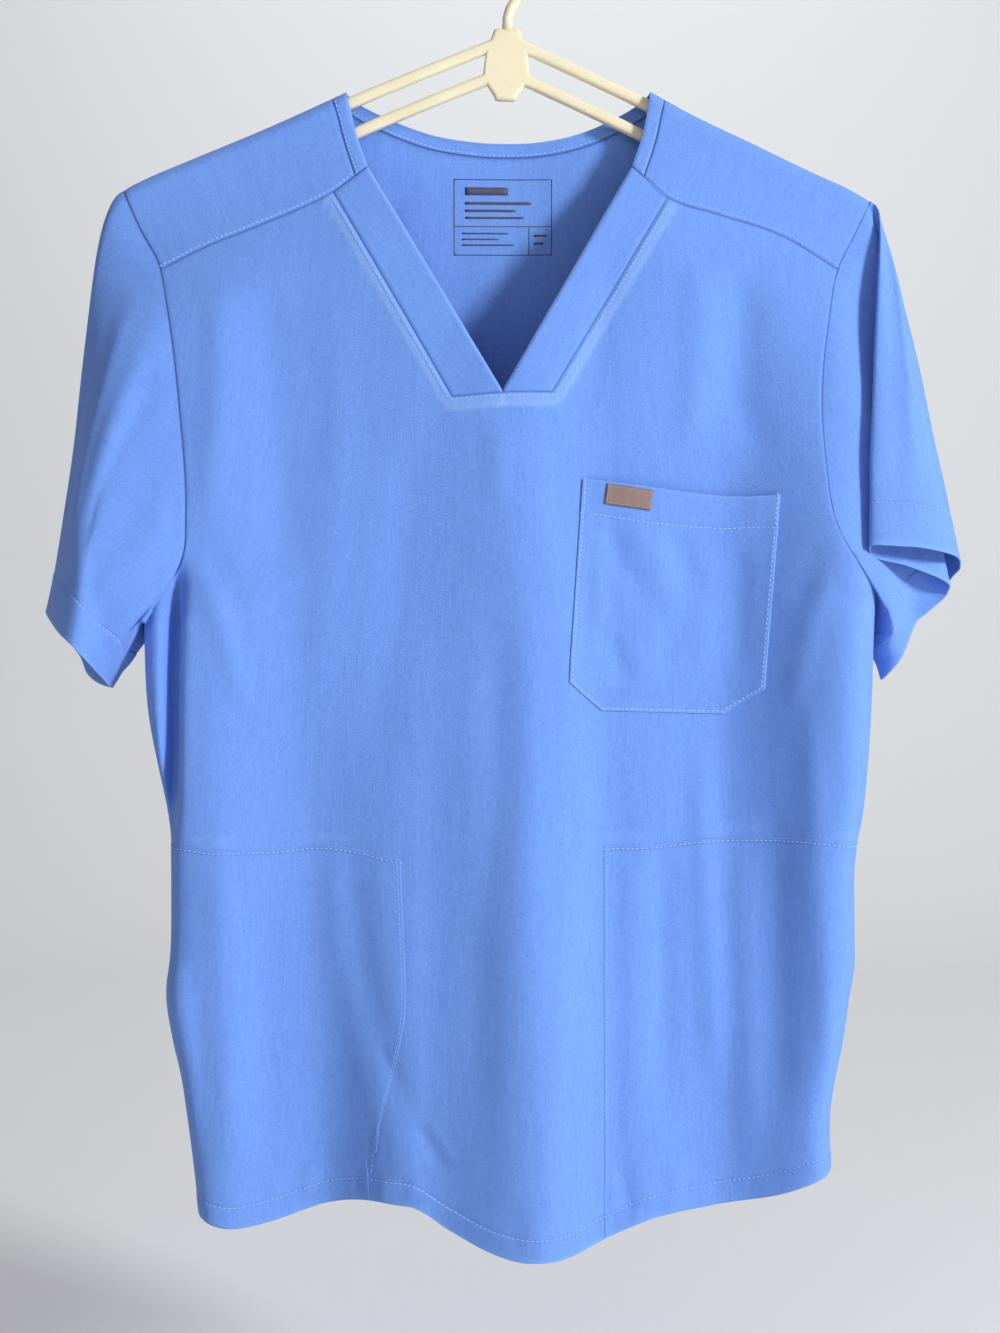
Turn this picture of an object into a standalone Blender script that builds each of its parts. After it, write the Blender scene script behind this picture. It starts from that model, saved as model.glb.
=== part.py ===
"""V-neck scrub top hanging on a two-rail moulded hanger.

Lengths are in millimetres until the meshes are made. `across` runs from the wearer's right (-X) to the
wearer's left (+X), `depth` is how far the cloth stands in front of (-Y) or behind (+Y) the hanging plane,
and `drop` is the distance below the point where the hook hangs, which is the origin.
"""

from collections import namedtuple
import math

import bmesh
import bpy
import numpy as np

MM = 0.001

# ---------------------------------------------------------------- driving sizes
WALL = 1.5            # cloth wall of the main panels
THIN_WALL = 1.2       # cloth wall of pieces that lie on a panel
SEAM_GAP = 0.4        # half of the gap left between two panels at a seam
PATCH_LIFT = 1.0      # air between a panel and a patch that lies on it
CAP_RADIUS = 10.0     # roundness of the cloth over the hanger's shoulder
OPENING_OUT = 110.0   # drop over which the panels part from the shoulder line
TURN = 6.0            # squareness of the body where it turns round the sides
SIDE_EDGE = 0.998     # where front and back end beside the side seam
ARMHOLE_GAP = 1.4     # gap between a sleeve and the body
UNDERARM_GAP = 3.6   # more gap where the armhole turns under the arm
BINDING_WIDTH, BINDING_GAP = 8.5, 1.2
HEM_LEVEL = 810.0

# Body sections: side turns across, and how far front and back stand out, by drop.
Ring = namedtuple("Ring", "drop left right front back")
BODY_RINGS = [
    Ring(95, -305, 300, 12, 12),
    Ring(165, -290, 285, 20, 18),
    Ring(230, -270, 266, 29, 24),
    Ring(300, -252, 250, 36, 30),
    Ring(370, -238, 240, 42, 35),
    Ring(430, -231, 234, 47, 39),
    Ring(496, -231, 235, 52, 43),
    Ring(554, -220, 231, 55, 46),
    Ring(600, -212.5, 223.5, 57, 48),
    Ring(650, -213, 222, 59, 51),
    Ring(709, -210, 212.5, 61, 54),
    Ring(747, -203.5, 208, 62, 56),
    Ring(790, -198, 208.5, 63, 58),
    Ring(870, -190, 203, 64, 60),
]

# Soft vertical flutes: where a crest or trough runs at the top and at the hem, and how far it stands out.
Flute = namedtuple("Flute", "name top hem rise_top rise_hem")
FRONT_FLUTES = [
    Flute("side_right", -260, -196, 0, 0),
    Flute("crest_right", -178, -168, 3, 12),
    Flute("trough_right", -95, -94, -4, -28),
    Flute("crest_centre", 28, 23, 6, 26),
    Flute("trough_left", 140, 142, -3, -12),
    Flute("crest_left", 196, 188, 3, 10),
    Flute("side_left", 260, 206, 0, 0),
]
BACK_FLUTES = [
    Flute("side_right", -260, -196, 0, 0),
    Flute("crest_right", -160, -150, 3, 16),
    Flute("trough_right", -70, -88, -3, -16),
    Flute("crest_centre", 0, -12, 2, 14),
    Flute("trough_left", 84, 70, -3, -20),
    Flute("crest_left", 165, 150, 3, 14),
    Flute("side_left", 260, 206, 0, 0),
]
FLUTE_TOP, FLUTE_HEM = 250.0, 850.0
FLUTE_START, FLUTE_FULL = 160.0, 280.0
FLUTE_GROWTH = 1.2

Point = namedtuple("Point", "across drop")
SHOULDER_LINE = [
    Point(-256, 172), Point(-245, 162.5), Point(-228, 153.5), Point(-203, 143), Point(-151, 121.3),
    Point(-102, 99), Point(-60, 79), Point(0, 55), Point(52, 78), Point(93.4, 98.7),
    Point(119, 112.9), Point(158, 131.6), Point(196, 150), Point(222, 162), Point(235, 170), Point(247, 180),
]
BACK_NECK = [
    Point(-102, 99), Point(-96, 103), Point(-78, 112), Point(-48, 123), Point(-20, 127.5), Point(0, 128.3),
    Point(22, 127.5), Point(48, 122.5), Point(72, 112.5), Point(88, 103), Point(93.4, 98.7),
]
FRONT_NECK_RIGHT = [Point(-102, 99), Point(-98.5, 113.5), Point(-94.5, 129.5), Point(-87.5, 149.5)]
FRONT_NECK_LEFT = [Point(93.4, 98.7), Point(91, 112.5), Point(87.5, 129.5), Point(80.8, 149.5)]
YOKE_RIGHT = [Point(-218.8, 216.6), Point(-187.2, 200.6), Point(-155.6, 187.7), Point(-109.5, 166.5)]
YOKE_LEFT = [Point(211.4, 216.3), Point(174.9, 193.7), Point(136.7, 181), Point(103.4, 170.3)]
V_TIP = Point(-1.6, 295.9)
V_SEAM_RIGHT, V_SEAM_CENTRE, V_SEAM_LEFT = Point(-33.2, 299.7), Point(-1.6, 302.0), Point(29.3, 297.3)
ARMHOLE_RIGHT = [
    Point(-245, 162.5), Point(-232.9, 189.6), Point(-218.8, 216.6), Point(-210.7, 256.5), Point(-205, 301),
    Point(-199.2, 376.6), Point(-201.5, 401.6), Point(-209.5, 415), Point(-221, 426.5), Point(-231, 440),
]
ARMHOLE_LEFT = [
    Point(234.5, 169.6), Point(223.3, 192.8), Point(211.4, 216.3), Point(202.9, 256.6), Point(198.3, 301.3),
    Point(200, 345), Point(204, 380), Point(212.5, 402), Point(222.5, 413.5), Point(234, 428),
]
HEM = [
    Point(-200, 804), Point(-187, 811), Point(-168, 812), Point(-144, 807.6), Point(-109, 801), Point(-84, 800.5),
    Point(-59, 802.5), Point(-34, 813), Point(-9, 821.7), Point(15, 825.1), Point(39, 822.4), Point(63, 811.6),
    Point(88, 805.4), Point(126, 801), Point(163, 794), Point(188, 786.3), Point(210, 781),
]
BACK_HEM = [
    Point(-200, 804), Point(-150, 816), Point(-88, 810), Point(-12, 818), Point(70, 806), Point(150, 804),
    Point(210, 781),
]

# Chest pocket outline: each row is one height of the pocket, from its mouth to its foot.
PocketRow = namedtuple("PocketRow", "right_across right_drop left_across left_drop")
CHEST_POCKET = [
    PocketRow(48.2, 352.6, 172.6, 361.2),
    PocketRow(46.4, 380.5, 170.3, 386.5),
    PocketRow(44.4, 408.0, 168.0, 412.0),
    PocketRow(42.4, 436.0, 165.6, 438.0),
    PocketRow(40.6, 460.0, 163.5, 462.0),
    PocketRow(39.6, 478.2, 161.7, 482.7),
    PocketRow(50.0, 487.5, 149.0, 490.5),
    PocketRow(59.9, 496.0, 136.4, 498.2),
]
POCKET_COLUMNS = 9
MOUTH_BULGE, MOUTH_DIP, MOUTH_REACH = 2.2, 2.5, 60.0
TAB_CORNER, TAB_WIDTH, TAB_HEIGHT, TAB_SLOPE = Point(62.0, 355.8), 29.0, 12.8, 0.11
TAB_WALL, TAB_AIR = 1.0, 0.5

# Lower pockets: the inner edge from the mouth seam to the hem, and the seam's drop at the side.
LOWER_INNER_RIGHT = [
    Point(-65, 591), Point(-62, 642), Point(-61, 675), Point(-66, 710), Point(-75, 745), Point(-83, 800),
]
LOWER_INNER_LEFT = [Point(60.8, 581), Point(60.6, 640), Point(60.4, 720), Point(60, 812)]
LOWER_SIDE_DROP_RIGHT, LOWER_SIDE_DROP_LEFT = 584.0, 581.5
LOWER_SIDE_SHARE = 0.94
LOWER_LIFT = 1.6
LOWER_COLUMNS, LOWER_DOWNS = 10, np.linspace(0, 1, 12)

# Cuff edge of each sleeve, round from the outer fold by the front to the underarm and back: how far round
# the cuff and the armhole, where it lies, and the two handles that bend the cloth's way from the armhole.
# Out is away from the body, fore is to the front.
Cuff = namedtuple("Cuff", "share arm across depth drop out fore down end_out end_fore end_down")
CUFF_RIGHT = [
    Cuff(0.000, 0.000, -295, 2, 433, 22, 0, 12, -22, 0, -110),
    Cuff(0.120, 0.110, -281, 46, 442, 28, 12, 36, -14, -4, -100),
    Cuff(0.240, 0.230, -262, 72, 457, 42, 16, 50, -8, -6, -80),
    Cuff(0.360, 0.370, -251, 56, 472, 18, 22, 48, 6, 2, -30),
    Cuff(0.470, 0.460, -250, 22, 481, 1, 6, 11, -7, 3, -14),
    Cuff(0.560, 0.530, -256, -12, 482, 3, -6, 12, -4, -2, -16),
    Cuff(0.680, 0.640, -272, -46, 473, 18, -20, 44, 4, -4, -46),
    Cuff(0.790, 0.770, -288, -62, 456, 40, -16, 50, -6, -2, -80),
    Cuff(0.900, 0.890, -298, -40, 440, 28, -12, 36, -14, 0, -100),
]
CUFF_LEFT = [
    Cuff(0.000, 0.000, 292, 6, 405, 18, 0, 12, -26, 2, -105),
    Cuff(0.075, 0.045, 279, 46, 399, 24, 12, 26, -16, 0, -96),
    Cuff(0.150, 0.080, 246, 61, 394.4, 22, 16, 40, -6, -6, -90),
    Cuff(0.215, 0.105, 225, 58, 394.7, 14, 16, 50, 0, -8, -90),
    Cuff(0.235, 0.120, 225, 50, 399, 14, 12, 50, 0, -8, -90),
    Cuff(0.310, 0.160, 252, 42, 406, 26, 6, 60, 0, -6, -90),
    Cuff(0.385, 0.200, 280, 30, 417, 40, 0, 60, -2, -6, -80),
    Cuff(0.410, 0.230, 281, 22, 421, 44, -2, 60, -6, -6, -70),
    Cuff(0.470, 0.330, 268, 16, 435, 34, 4, 60, -18, 0, -30),
    Cuff(0.505, 0.400, 263, 13, 443, 22, 24, 68, -15, 3, -4),
    Cuff(0.540, 0.450, 259, 10, 450, 11, 22, 76, -11, 4, 20),
    Cuff(0.610, 0.530, 261, -16, 448, 4, -10, 76, -11, -4, 18),
    Cuff(0.720, 0.660, 273, -40, 436, 22, -14, 50, -10, -4, -40),
    Cuff(0.830, 0.790, 288, -44, 420, 34, -12, 40, -12, 0, -80),
    Cuff(0.920, 0.900, 294, -26, 410, 24, -8, 26, -18, 0, -98),
]
SIDES_PER_CUFF_ROW = 3

# Hanger, before it tilts on its hook: centre lines of the upper rails, and what joins them.
RailPoint = namedtuple("RailPoint", "across drop")
UPPER_RAIL = [
    RailPoint(9, 68.6), RailPoint(60, 90.6), RailPoint(102, 109.6), RailPoint(151, 133.4), RailPoint(199, 155),
]
RAIL_HALF_HEIGHT, RAIL_SPACING, RAIL_DEPTH, RAIL_BEVEL = 3.75, 19.0, 7.0, 1.4
BLOCK_HALF_WIDTH, BLOCK_FOOT_HALF_WIDTH, BLOCK_TOP, BLOCK_FOOT = 10.5, 8.0, 58.0, 104.5
HOOK_ROD_RADIUS, HOOK_BEND_RADIUS = 3.4, 21.4
HOOK_OPEN_ANGLE, HOOK_NECK_ANGLE = 197.0, -38.0
HANG_TILT = math.radians(-1.5)
FRAME_SHIFT = 3.0    # the frame's middle stands this far beside the hook's hanging point

FRONT_COLUMNS = (8, 7, 5, 7, 8)     # shoulder, V, foot of the V, V, shoulder
SHOULDER_COLUMNS = 7
FRONT_DOWNS = np.concatenate([
    np.linspace(0, 0.26, 9), (0.285, 0.305, 0.322, 0.338, 0.354, 0.37, 0.388), np.linspace(0.42, 1, 18),
])
BACK_DOWNS = np.concatenate([
    (0, 0.0022, 0.0085, 0.0165, 0.035, 0.06, 0.085), np.linspace(0.12, 0.345, 6),
    (0.37, 0.386, 0.402, 0.418, 0.436), np.linspace(0.47, 1, 12),
])
YOKE_DOWNS = np.array([0, 0.025, 0.1, 0.2, 0.4, 0.6, 0.8, 1])
BINDING_HALF = np.array([0, 0.008, 0.018, 0.032, 0.05, 0.08, 0.13, 0.21, 0.31, 0.41, 0.5])
BACK_NECK_HALF = np.array([0, 0.008, 0.02, 0.04, 0.08, 0.17, 0.33, 0.5])
BINDING_DOWNS = np.array([0, 0.03, 0.07, 0.13, 0.21, 0.32, 0.5, 0.7, 1])
NECK_SWING = 18.0     # length over which the binding swings round at the shoulder
SLEEVE_DOWNS = np.linspace(0, 1, 12)

CLOTH = ("scrub_cloth", (0.19, 0.36, 0.86), 0.72, 0.0)
TAB_FINISH = ("tab_brown", (0.24, 0.13, 0.10), 0.6, 0.0)
PLASTIC = ("hanger_plastic", (0.86, 0.78, 0.55), 0.25, 0.0)


# ---------------------------------------------------------------- lines
def smooth_rows(places, values):
    """A smooth curve through a table's rows that overshoots no crest."""
    places, values = np.asarray(places, float), np.asarray(values, float)
    rise = np.diff(values) / np.diff(places)
    slope = np.concatenate([rise[:1], (rise[:-1] + rise[1:]) / 2, rise[-1:]])
    slope[1:-1][rise[:-1] * rise[1:] <= 0] = 0

    def at(where):
        where = np.clip(np.asarray(where, float), places[0], places[-1])
        i = np.clip(np.searchsorted(places, where, side="right") - 1, 0, len(places) - 2)
        span = places[i + 1] - places[i]
        t = (where - places[i]) / span
        low = (1 + 2 * t) * (1 - t) ** 2 * values[i] + t * (1 - t) ** 2 * span * slope[i]
        high = t * t * (3 - 2 * t) * values[i + 1] + t * t * (t - 1) * span * slope[i + 1]
        return low + high

    return at


def smooth_points(points):
    return smooth_rows([p.across for p in points], [p.drop for p in points])


def line_of(points):
    return np.array([(p.across, p.drop) for p in points], float)


def lengths_along(line):
    return np.concatenate([[0], np.cumsum(np.linalg.norm(np.diff(line, axis=0), axis=1))])


def along(line, places):
    """Points of a line at shares of its length."""
    lengths = lengths_along(line)
    return np.stack([np.interp(places, lengths / lengths[-1], column) for column in line.T], axis=1)


def smooth_line(points, places):
    """Points of a smooth line through a table's points, at shares of its length."""
    line = line_of(points)
    lengths = lengths_along(line)
    return np.stack([smooth_rows(lengths, column)(np.asarray(places) * lengths[-1]) for column in line.T], axis=1)


def offset_line(line, distance):
    """A line moved to its right-hand side, seen with drop pointing down."""
    ahead = np.gradient(line, axis=0)
    ahead /= np.linalg.norm(ahead, axis=1)[:, None]
    return line + distance * np.stack([-ahead[:, 1], ahead[:, 0]], axis=1)


def join_lines(*lines):
    return np.concatenate([lines[0], *[line[1:] for line in lines[1:]]])


def both_halves(places):
    """Places given from 0 to the middle, carried on in mirror order to 1."""
    return np.concatenate([places, 1 - places[-2::-1]])


# ---------------------------------------------------------------- the body's surface
def ring_column(name):
    return smooth_rows([r.drop for r in BODY_RINGS], [getattr(r, name) for r in BODY_RINGS])


left_turn, right_turn = ring_column("left"), ring_column("right")
front_stand, back_stand = ring_column("front"), ring_column("back")
shoulder_drop, hem_drop, back_hem_drop = smooth_points(SHOULDER_LINE), smooth_points(HEM), smooth_points(BACK_HEM)
TURN_SHARES = np.linspace(0, 1, 400)
TURN_REACH = TURN_SHARES * (1 + 1 / TURN - TURN_SHARES ** TURN / TURN)


def smooth_step(t):
    t = np.clip(t, 0, 1)
    return t * t * (3 - 2 * t)


def across_at(share, drop):
    """Where a share of the way round, from -1 to 1, lies across the body."""
    low, high = left_turn(drop), right_turn(drop)
    reach = np.sign(share) * np.interp(np.abs(share), TURN_SHARES, TURN_REACH)
    return (low + high) / 2 + reach * (high - low) / 2


def share_at(across, drop):
    low, high = left_turn(drop), right_turn(drop)
    reach = np.clip((across - (low + high) / 2) / ((high - low) / 2), -1, 1)
    return np.sign(reach) * np.interp(np.abs(reach), TURN_REACH, TURN_SHARES)


def relief(across, drop, flutes):
    """Height of the crests and troughs, blended across from one to the next."""
    down = np.clip((drop - FLUTE_TOP) / (FLUTE_HEM - FLUTE_TOP), 0, 1)
    start = np.clip((drop - FLUTE_START) / (FLUTE_FULL - FLUTE_START), 0, 1)
    lines = [f.top + (f.hem - f.top) * down for f in flutes]
    rises = [f.rise_top * start + (f.rise_hem - f.rise_top) * down ** FLUTE_GROWTH for f in flutes]
    height = np.zeros(np.broadcast(across, drop).shape)
    for i in range(len(flutes) - 1):
        t = np.clip((across - lines[i]) / (lines[i + 1] - lines[i]), 0, 1)
        between = rises[i] + (rises[i + 1] - rises[i]) * (0.5 - 0.5 * np.cos(np.pi * t))
        height = np.where((across >= lines[i]) & (across <= lines[i + 1]), between, height)
    return height


def cloth_depth(across, drop, stand, flutes):
    """How far a panel stands from the hanging plane: round over the shoulder, then out to its stand."""
    fullness = 1 - np.abs(share_at(across, drop)) ** TURN
    plateau = (stand(drop) + relief(across, drop, flutes)) * fullness
    fall = np.maximum(drop - shoulder_drop(across), 0)
    cap = CAP_RADIUS * np.sqrt(np.clip(1 - (1 - np.minimum(fall, CAP_RADIUS) / CAP_RADIUS) ** 2, 0, 1))
    return cap + (plateau - CAP_RADIUS) * smooth_step((fall - CAP_RADIUS / 2) / OPENING_OUT)


def front_depth(across, drop):
    return cloth_depth(across, drop, front_stand, FRONT_FLUTES)


def back_depth(across, drop):
    return cloth_depth(across, drop, back_stand, BACK_FLUTES)


def surface(across, drop, facing):
    """Points of the body's surface; facing is -1 in front and 1 behind."""
    depth = front_depth(across, drop) if facing < 0 else back_depth(across, drop)
    return np.stack([across, facing * depth, -drop], axis=-1)


def raised_front(across, drop, lift):
    """Points of the front moved straight out of the cloth by lift."""
    share = share_at(across, drop)
    at = surface(across_at(share, drop), drop, -1)
    step = 0.001
    sideways = surface(across_at(share + step, drop), drop, -1) - surface(across_at(share - step, drop), drop, -1)
    downways = surface(across_at(share, drop + 1), drop + 1, -1) - surface(across_at(share, drop - 1), drop - 1, -1)
    outwards = -np.cross(sideways, downways)
    outwards /= np.linalg.norm(outwards, axis=-1)[..., None]
    return at + outwards * np.asarray(lift)[..., None]


# ---------------------------------------------------------------- making objects
def material(finish):
    name, colour, roughness, metallic = finish
    made = bpy.data.materials.get(name)
    if made is None:
        made = bpy.data.materials.new(name)
        made.use_nodes = True
        shader = made.node_tree.nodes["Principled BSDF"]
        shader.inputs["Base Color"].default_value = (*colour, 1.0)
        shader.inputs["Roughness"].default_value = roughness
        shader.inputs["Metallic"].default_value = metallic
    return made


def add_object(name, data, finish, collection):
    data.materials.append(material(finish))
    made = bpy.data.objects.new(name, data)
    collection.objects.link(made)
    return made


def grid_mesh(name, grids, closed=False):
    """A mesh of one or more grids of points (rows of columns); grids that share an edge are welded."""
    form = bmesh.new()
    for grid in grids:
        rows = [[form.verts.new(point * MM) for point in row] for row in grid]
        for upper, lower in zip(rows, rows[1:]):
            corners = list(zip(upper, upper[1:], lower[1:], lower))
            if closed:
                corners.append((upper[-1], upper[0], lower[0], lower[-1]))
            for four in corners:
                form.faces.new(four)
    bmesh.ops.remove_doubles(form, verts=form.verts, dist=0.00005)
    data = bpy.data.meshes.new(name)
    form.to_mesh(data)
    form.free()
    data.shade_smooth()
    return data


def cloth_piece(name, grids, collection, wall=WALL, closed=False, finish=CLOTH):
    """A sewn piece: its outer face as a grid, thickened inwards."""
    made = add_object(name, grid_mesh(name, grids, closed), finish, collection)
    thick = made.modifiers.new("wall", "SOLIDIFY")
    thick.thickness = wall * MM
    thick.offset = -1.0
    return made


# ---------------------------------------------------------------- front and back
def side_line(armhole, side, hem, downs):
    """The edge of a body panel, down the armhole and the side seam, as (share of the way round, drop)."""
    inset = offset_line(line_of(armhole), side * SEAM_GAP)
    drops = inset[0, 1] + (hem - inset[0, 1]) * downs
    shares = share_at(np.interp(drops, inset[:, 1], inset[:, 0]), drops)
    shares[drops > inset[-1, 1]] = side * SIDE_EDGE
    return np.stack([shares, drops], axis=1)


def fill_panel(top, bottom, side_a, side_b, downs):
    """Fills a panel between its four edges."""
    places = np.linspace(0, 1, len(top))[:, None]
    rows = []
    for down, edge_a, edge_b in zip(downs, side_a, side_b):
        straight = top + (bottom - top) * down
        pull_a, pull_b = edge_a - straight[0], edge_b - straight[-1]
        rows.append(straight + (1 - places) ** 2 * pull_a + places ** 2 * pull_b)
    return np.array(rows)


def body_panel(line, armholes, hem, hem_ends, downs, facing):
    """A front or back panel below its top line, down to the hem."""
    top = np.stack([share_at(line[:, 0], line[:, 1]), line[:, 1]], axis=1)
    right = side_line(armholes[0], -1, hem_ends[0], downs)
    left = side_line(armholes[1], 1, hem_ends[1], downs)
    right[0], left[0] = top[0], top[-1]
    shares = np.linspace(-SIDE_EDGE, SIDE_EDGE, len(top))
    bottom = np.stack([shares, hem(across_at(shares, HEM_LEVEL))], axis=1)
    grid = fill_panel(top, bottom, right, left, downs)
    return surface(across_at(grid[..., 0], grid[..., 1]), grid[..., 1], facing)


def below(points, drop):
    return [p for p in points if p.drop >= drop]


def beside_neck(neck, distance, places):
    """A line beside the neck edge; near a shoulder point it swings round to lie along the shoulder."""
    line = smooth_line(neck, places)
    aside = offset_line(line, distance) - line
    for tip, end in ((line[0], neck[0]), (line[-1], neck[-1])):
        if abs(end.drop - shoulder_drop(end.across)) < 1:
            across = end.across + math.copysign(abs(distance), end.across)
            over = (across - end.across, shoulder_drop(across) - end.drop)
            near = 1 - smooth_step(np.linalg.norm(line - tip, axis=1) / NECK_SWING)
            aside += (over - aside) * near[:, None]
    return line + aside


def shoulder_seam(side, places, to_binding=True):
    """The forward shoulder seam, from the armhole to the V band's corner or on to the binding."""
    yoke, neck = {-1: (YOKE_RIGHT, FRONT_NECK_RIGHT), 1: (YOKE_LEFT, FRONT_NECK_LEFT)}[side]
    foot = Point(*beside_neck(neck, -side * (BINDING_WIDTH + BINDING_GAP), YOKE_DOWNS)[-1])
    lengths = lengths_along(line_of([*yoke, foot]))
    reach = 1 if to_binding else lengths[-2] / lengths[-1]
    return smooth_line([*yoke, foot], reach * np.asarray(places))


def front_top_line():
    """The front's top edge: forward shoulder seam, V, foot of the V, V and forward shoulder seam."""
    counts = [np.linspace(0, 1, count + 1) for count in FRONT_COLUMNS]
    return join_lines(
        shoulder_seam(-1, counts[0], to_binding=False),
        smooth_line([YOKE_RIGHT[-1], V_SEAM_RIGHT], counts[1]),
        smooth_line([V_SEAM_RIGHT, V_SEAM_CENTRE, V_SEAM_LEFT], counts[2]),
        smooth_line([V_SEAM_LEFT, YOKE_LEFT[-1]], counts[3]),
        shoulder_seam(1, counts[4], to_binding=False)[::-1],
    )


def build_front(collection):
    armholes = below(ARMHOLE_RIGHT, YOKE_RIGHT[0].drop), below(ARMHOLE_LEFT, YOKE_LEFT[0].drop)
    line = offset_line(front_top_line(), SEAM_GAP)
    points = body_panel(line, armholes, hem_drop, (HEM[0].drop, HEM[-1].drop), FRONT_DOWNS, -1)
    cloth_piece("front", [points[:, ::-1]], collection)


def forward_shoulder(side):
    """One forward shoulder: its top edge and its points down to the yoke seam in front."""
    armhole, neck = {-1: (ARMHOLE_RIGHT, FRONT_NECK_RIGHT), 1: (ARMHOLE_LEFT, FRONT_NECK_LEFT)}[side]
    places = np.linspace(0, 1, SHOULDER_COLUMNS + 1)
    over_armhole = armhole[:3]
    tip_side = along(offset_line(line_of(over_armhole), side * SEAM_GAP), YOKE_DOWNS)
    neck_side = beside_neck(neck, -side * (BINDING_WIDTH + BINDING_GAP), YOKE_DOWNS)
    seam = offset_line(shoulder_seam(side, places), side * SEAM_GAP)
    across = tip_side[0, 0] + (neck_side[0, 0] - tip_side[0, 0]) * places
    top = np.stack([across, shoulder_drop(across)], axis=1)
    tip_side[0], tip_side[-1] = top[0], seam[0]
    neck_side[0], neck_side[-1] = top[-1], seam[-1]
    grid = fill_panel(top, seam, tip_side, neck_side, YOKE_DOWNS)
    points = surface(grid[..., 0], grid[..., 1], -1)
    points[0, :, 1] = 0
    return top, points if side > 0 else points[:, ::-1]


def build_back(collection):
    top_right, shoulder_right = forward_shoulder(-1)
    top_left, shoulder_left = forward_shoulder(1)
    neck = beside_neck(BACK_NECK, BINDING_WIDTH + BINDING_GAP, both_halves(BACK_NECK_HALF))
    neck[0], neck[-1] = top_right[-1], top_left[-1]
    line = join_lines(top_right, neck, top_left[::-1])
    hem_ends = BACK_HEM[0].drop, BACK_HEM[-1].drop
    points = body_panel(line, (ARMHOLE_RIGHT, ARMHOLE_LEFT), back_hem_drop, hem_ends, BACK_DOWNS, 1)
    points[0, :, 0] = line[:, 0]
    on_shoulder = np.abs(line[:, 1] - shoulder_drop(line[:, 0])) < 0.05
    points[0, on_shoulder, 1] = 0
    cloth_piece("back", [points, shoulder_right, shoulder_left], collection)


# ---------------------------------------------------------------- neck
def build_v_band(collection, side):
    """One wide band of the V, from the forward shoulder seam down to the tip and the foot seam."""
    name, yoke, neck, seam = {
        -1: ("v_band_right", YOKE_RIGHT, FRONT_NECK_RIGHT, V_SEAM_RIGHT),
        1: ("v_band_left", YOKE_LEFT, FRONT_NECK_LEFT, V_SEAM_LEFT),
    }[side]
    straight = smooth_line([yoke[-1], seam], np.linspace(0, 1, 10))
    foot = smooth_line([seam, V_SEAM_CENTRE], np.linspace(0, 1, 4))
    outer = offset_line(join_lines(straight, foot), side * SEAM_GAP)
    outer[10:, 1] = join_lines(straight, foot)[10:, 1] - SEAM_GAP
    inner = smooth_line([neck[-1], V_TIP], np.concatenate([np.linspace(0, 0.86, 10), (0.91, 0.96, 1)]))
    for line in (outer, inner):
        line[0, 1] += 2 * SEAM_GAP
        line[-1, 0] = V_TIP.across + side * SEAM_GAP
    grid = np.stack([outer, (outer + inner) / 2, inner], axis=1)
    points = surface(grid[..., 0], grid[..., 1], -1)
    cloth_piece(name, [points if side > 0 else points[:, ::-1]], collection)


def neck_stretch(neck, distance, places, facing):
    """A stretch of the binding: rows along the neck, from the panel's edge to the neck edge."""
    inner = smooth_line(neck, places)
    outer = beside_neck(neck, distance, places)
    grid = np.stack([outer, (outer + inner) / 2, inner], axis=1)
    points = surface(grid[..., 0], grid[..., 1], facing)
    for end in (0, -1):
        if abs(neck[end].drop - shoulder_drop(neck[end].across)) < 1:
            points[end, :, 1] = 0
    return points


def build_neck_binding(collection):
    right = neck_stretch(FRONT_NECK_RIGHT, BINDING_WIDTH, BINDING_DOWNS, -1)
    left = neck_stretch(FRONT_NECK_LEFT, -BINDING_WIDTH, BINDING_DOWNS, -1)
    back = neck_stretch(BACK_NECK, BINDING_WIDTH, both_halves(BINDING_HALF), 1)
    points = np.concatenate([right[::-1], back[1:], left[1:]])
    cloth_piece("neck_binding", [points], collection)


# ---------------------------------------------------------------- pockets
def chest_pocket_lift(across, drop):
    """How far the chest pocket's outer face stands off the front; its mouth gapes a little."""
    mouth = CHEST_POCKET[0]
    place = np.clip((across - mouth.right_across) / (mouth.left_across - mouth.right_across), 0, 1)
    gape = 4 * place * (1 - place) * np.clip(1 - (drop - mouth.right_drop) / MOUTH_REACH, 0, 1)
    return PATCH_LIFT + THIN_WALL + MOUTH_BULGE * gape


def build_chest_pocket(collection):
    places = np.linspace(0, 1, POCKET_COLUMNS + 1)
    rows = []
    for row in CHEST_POCKET:
        across = row.right_across + (row.left_across - row.right_across) * places
        drop = row.right_drop + (row.left_drop - row.right_drop) * places
        rows.append(np.stack([across, drop], axis=1))
    grid = np.array(rows)
    grid[0, :, 1] += MOUTH_DIP * 4 * places * (1 - places)
    across, drop = grid[..., 0], grid[..., 1]
    points = raised_front(across, drop, chest_pocket_lift(across, drop))
    cloth_piece("chest_pocket", [points[:, ::-1]], collection, wall=THIN_WALL)


def build_pocket_tab(collection):
    across, down = np.meshgrid(np.linspace(0, TAB_WIDTH, 4), np.linspace(0, TAB_HEIGHT, 3))
    drop = TAB_CORNER.drop + down + TAB_SLOPE * across
    across = TAB_CORNER.across + across - TAB_SLOPE * down
    points = raised_front(across, drop, chest_pocket_lift(across, drop) + TAB_AIR + TAB_WALL)
    cloth_piece("pocket_tab", [points[:, ::-1]], collection, wall=TAB_WALL, finish=TAB_FINISH)


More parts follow.
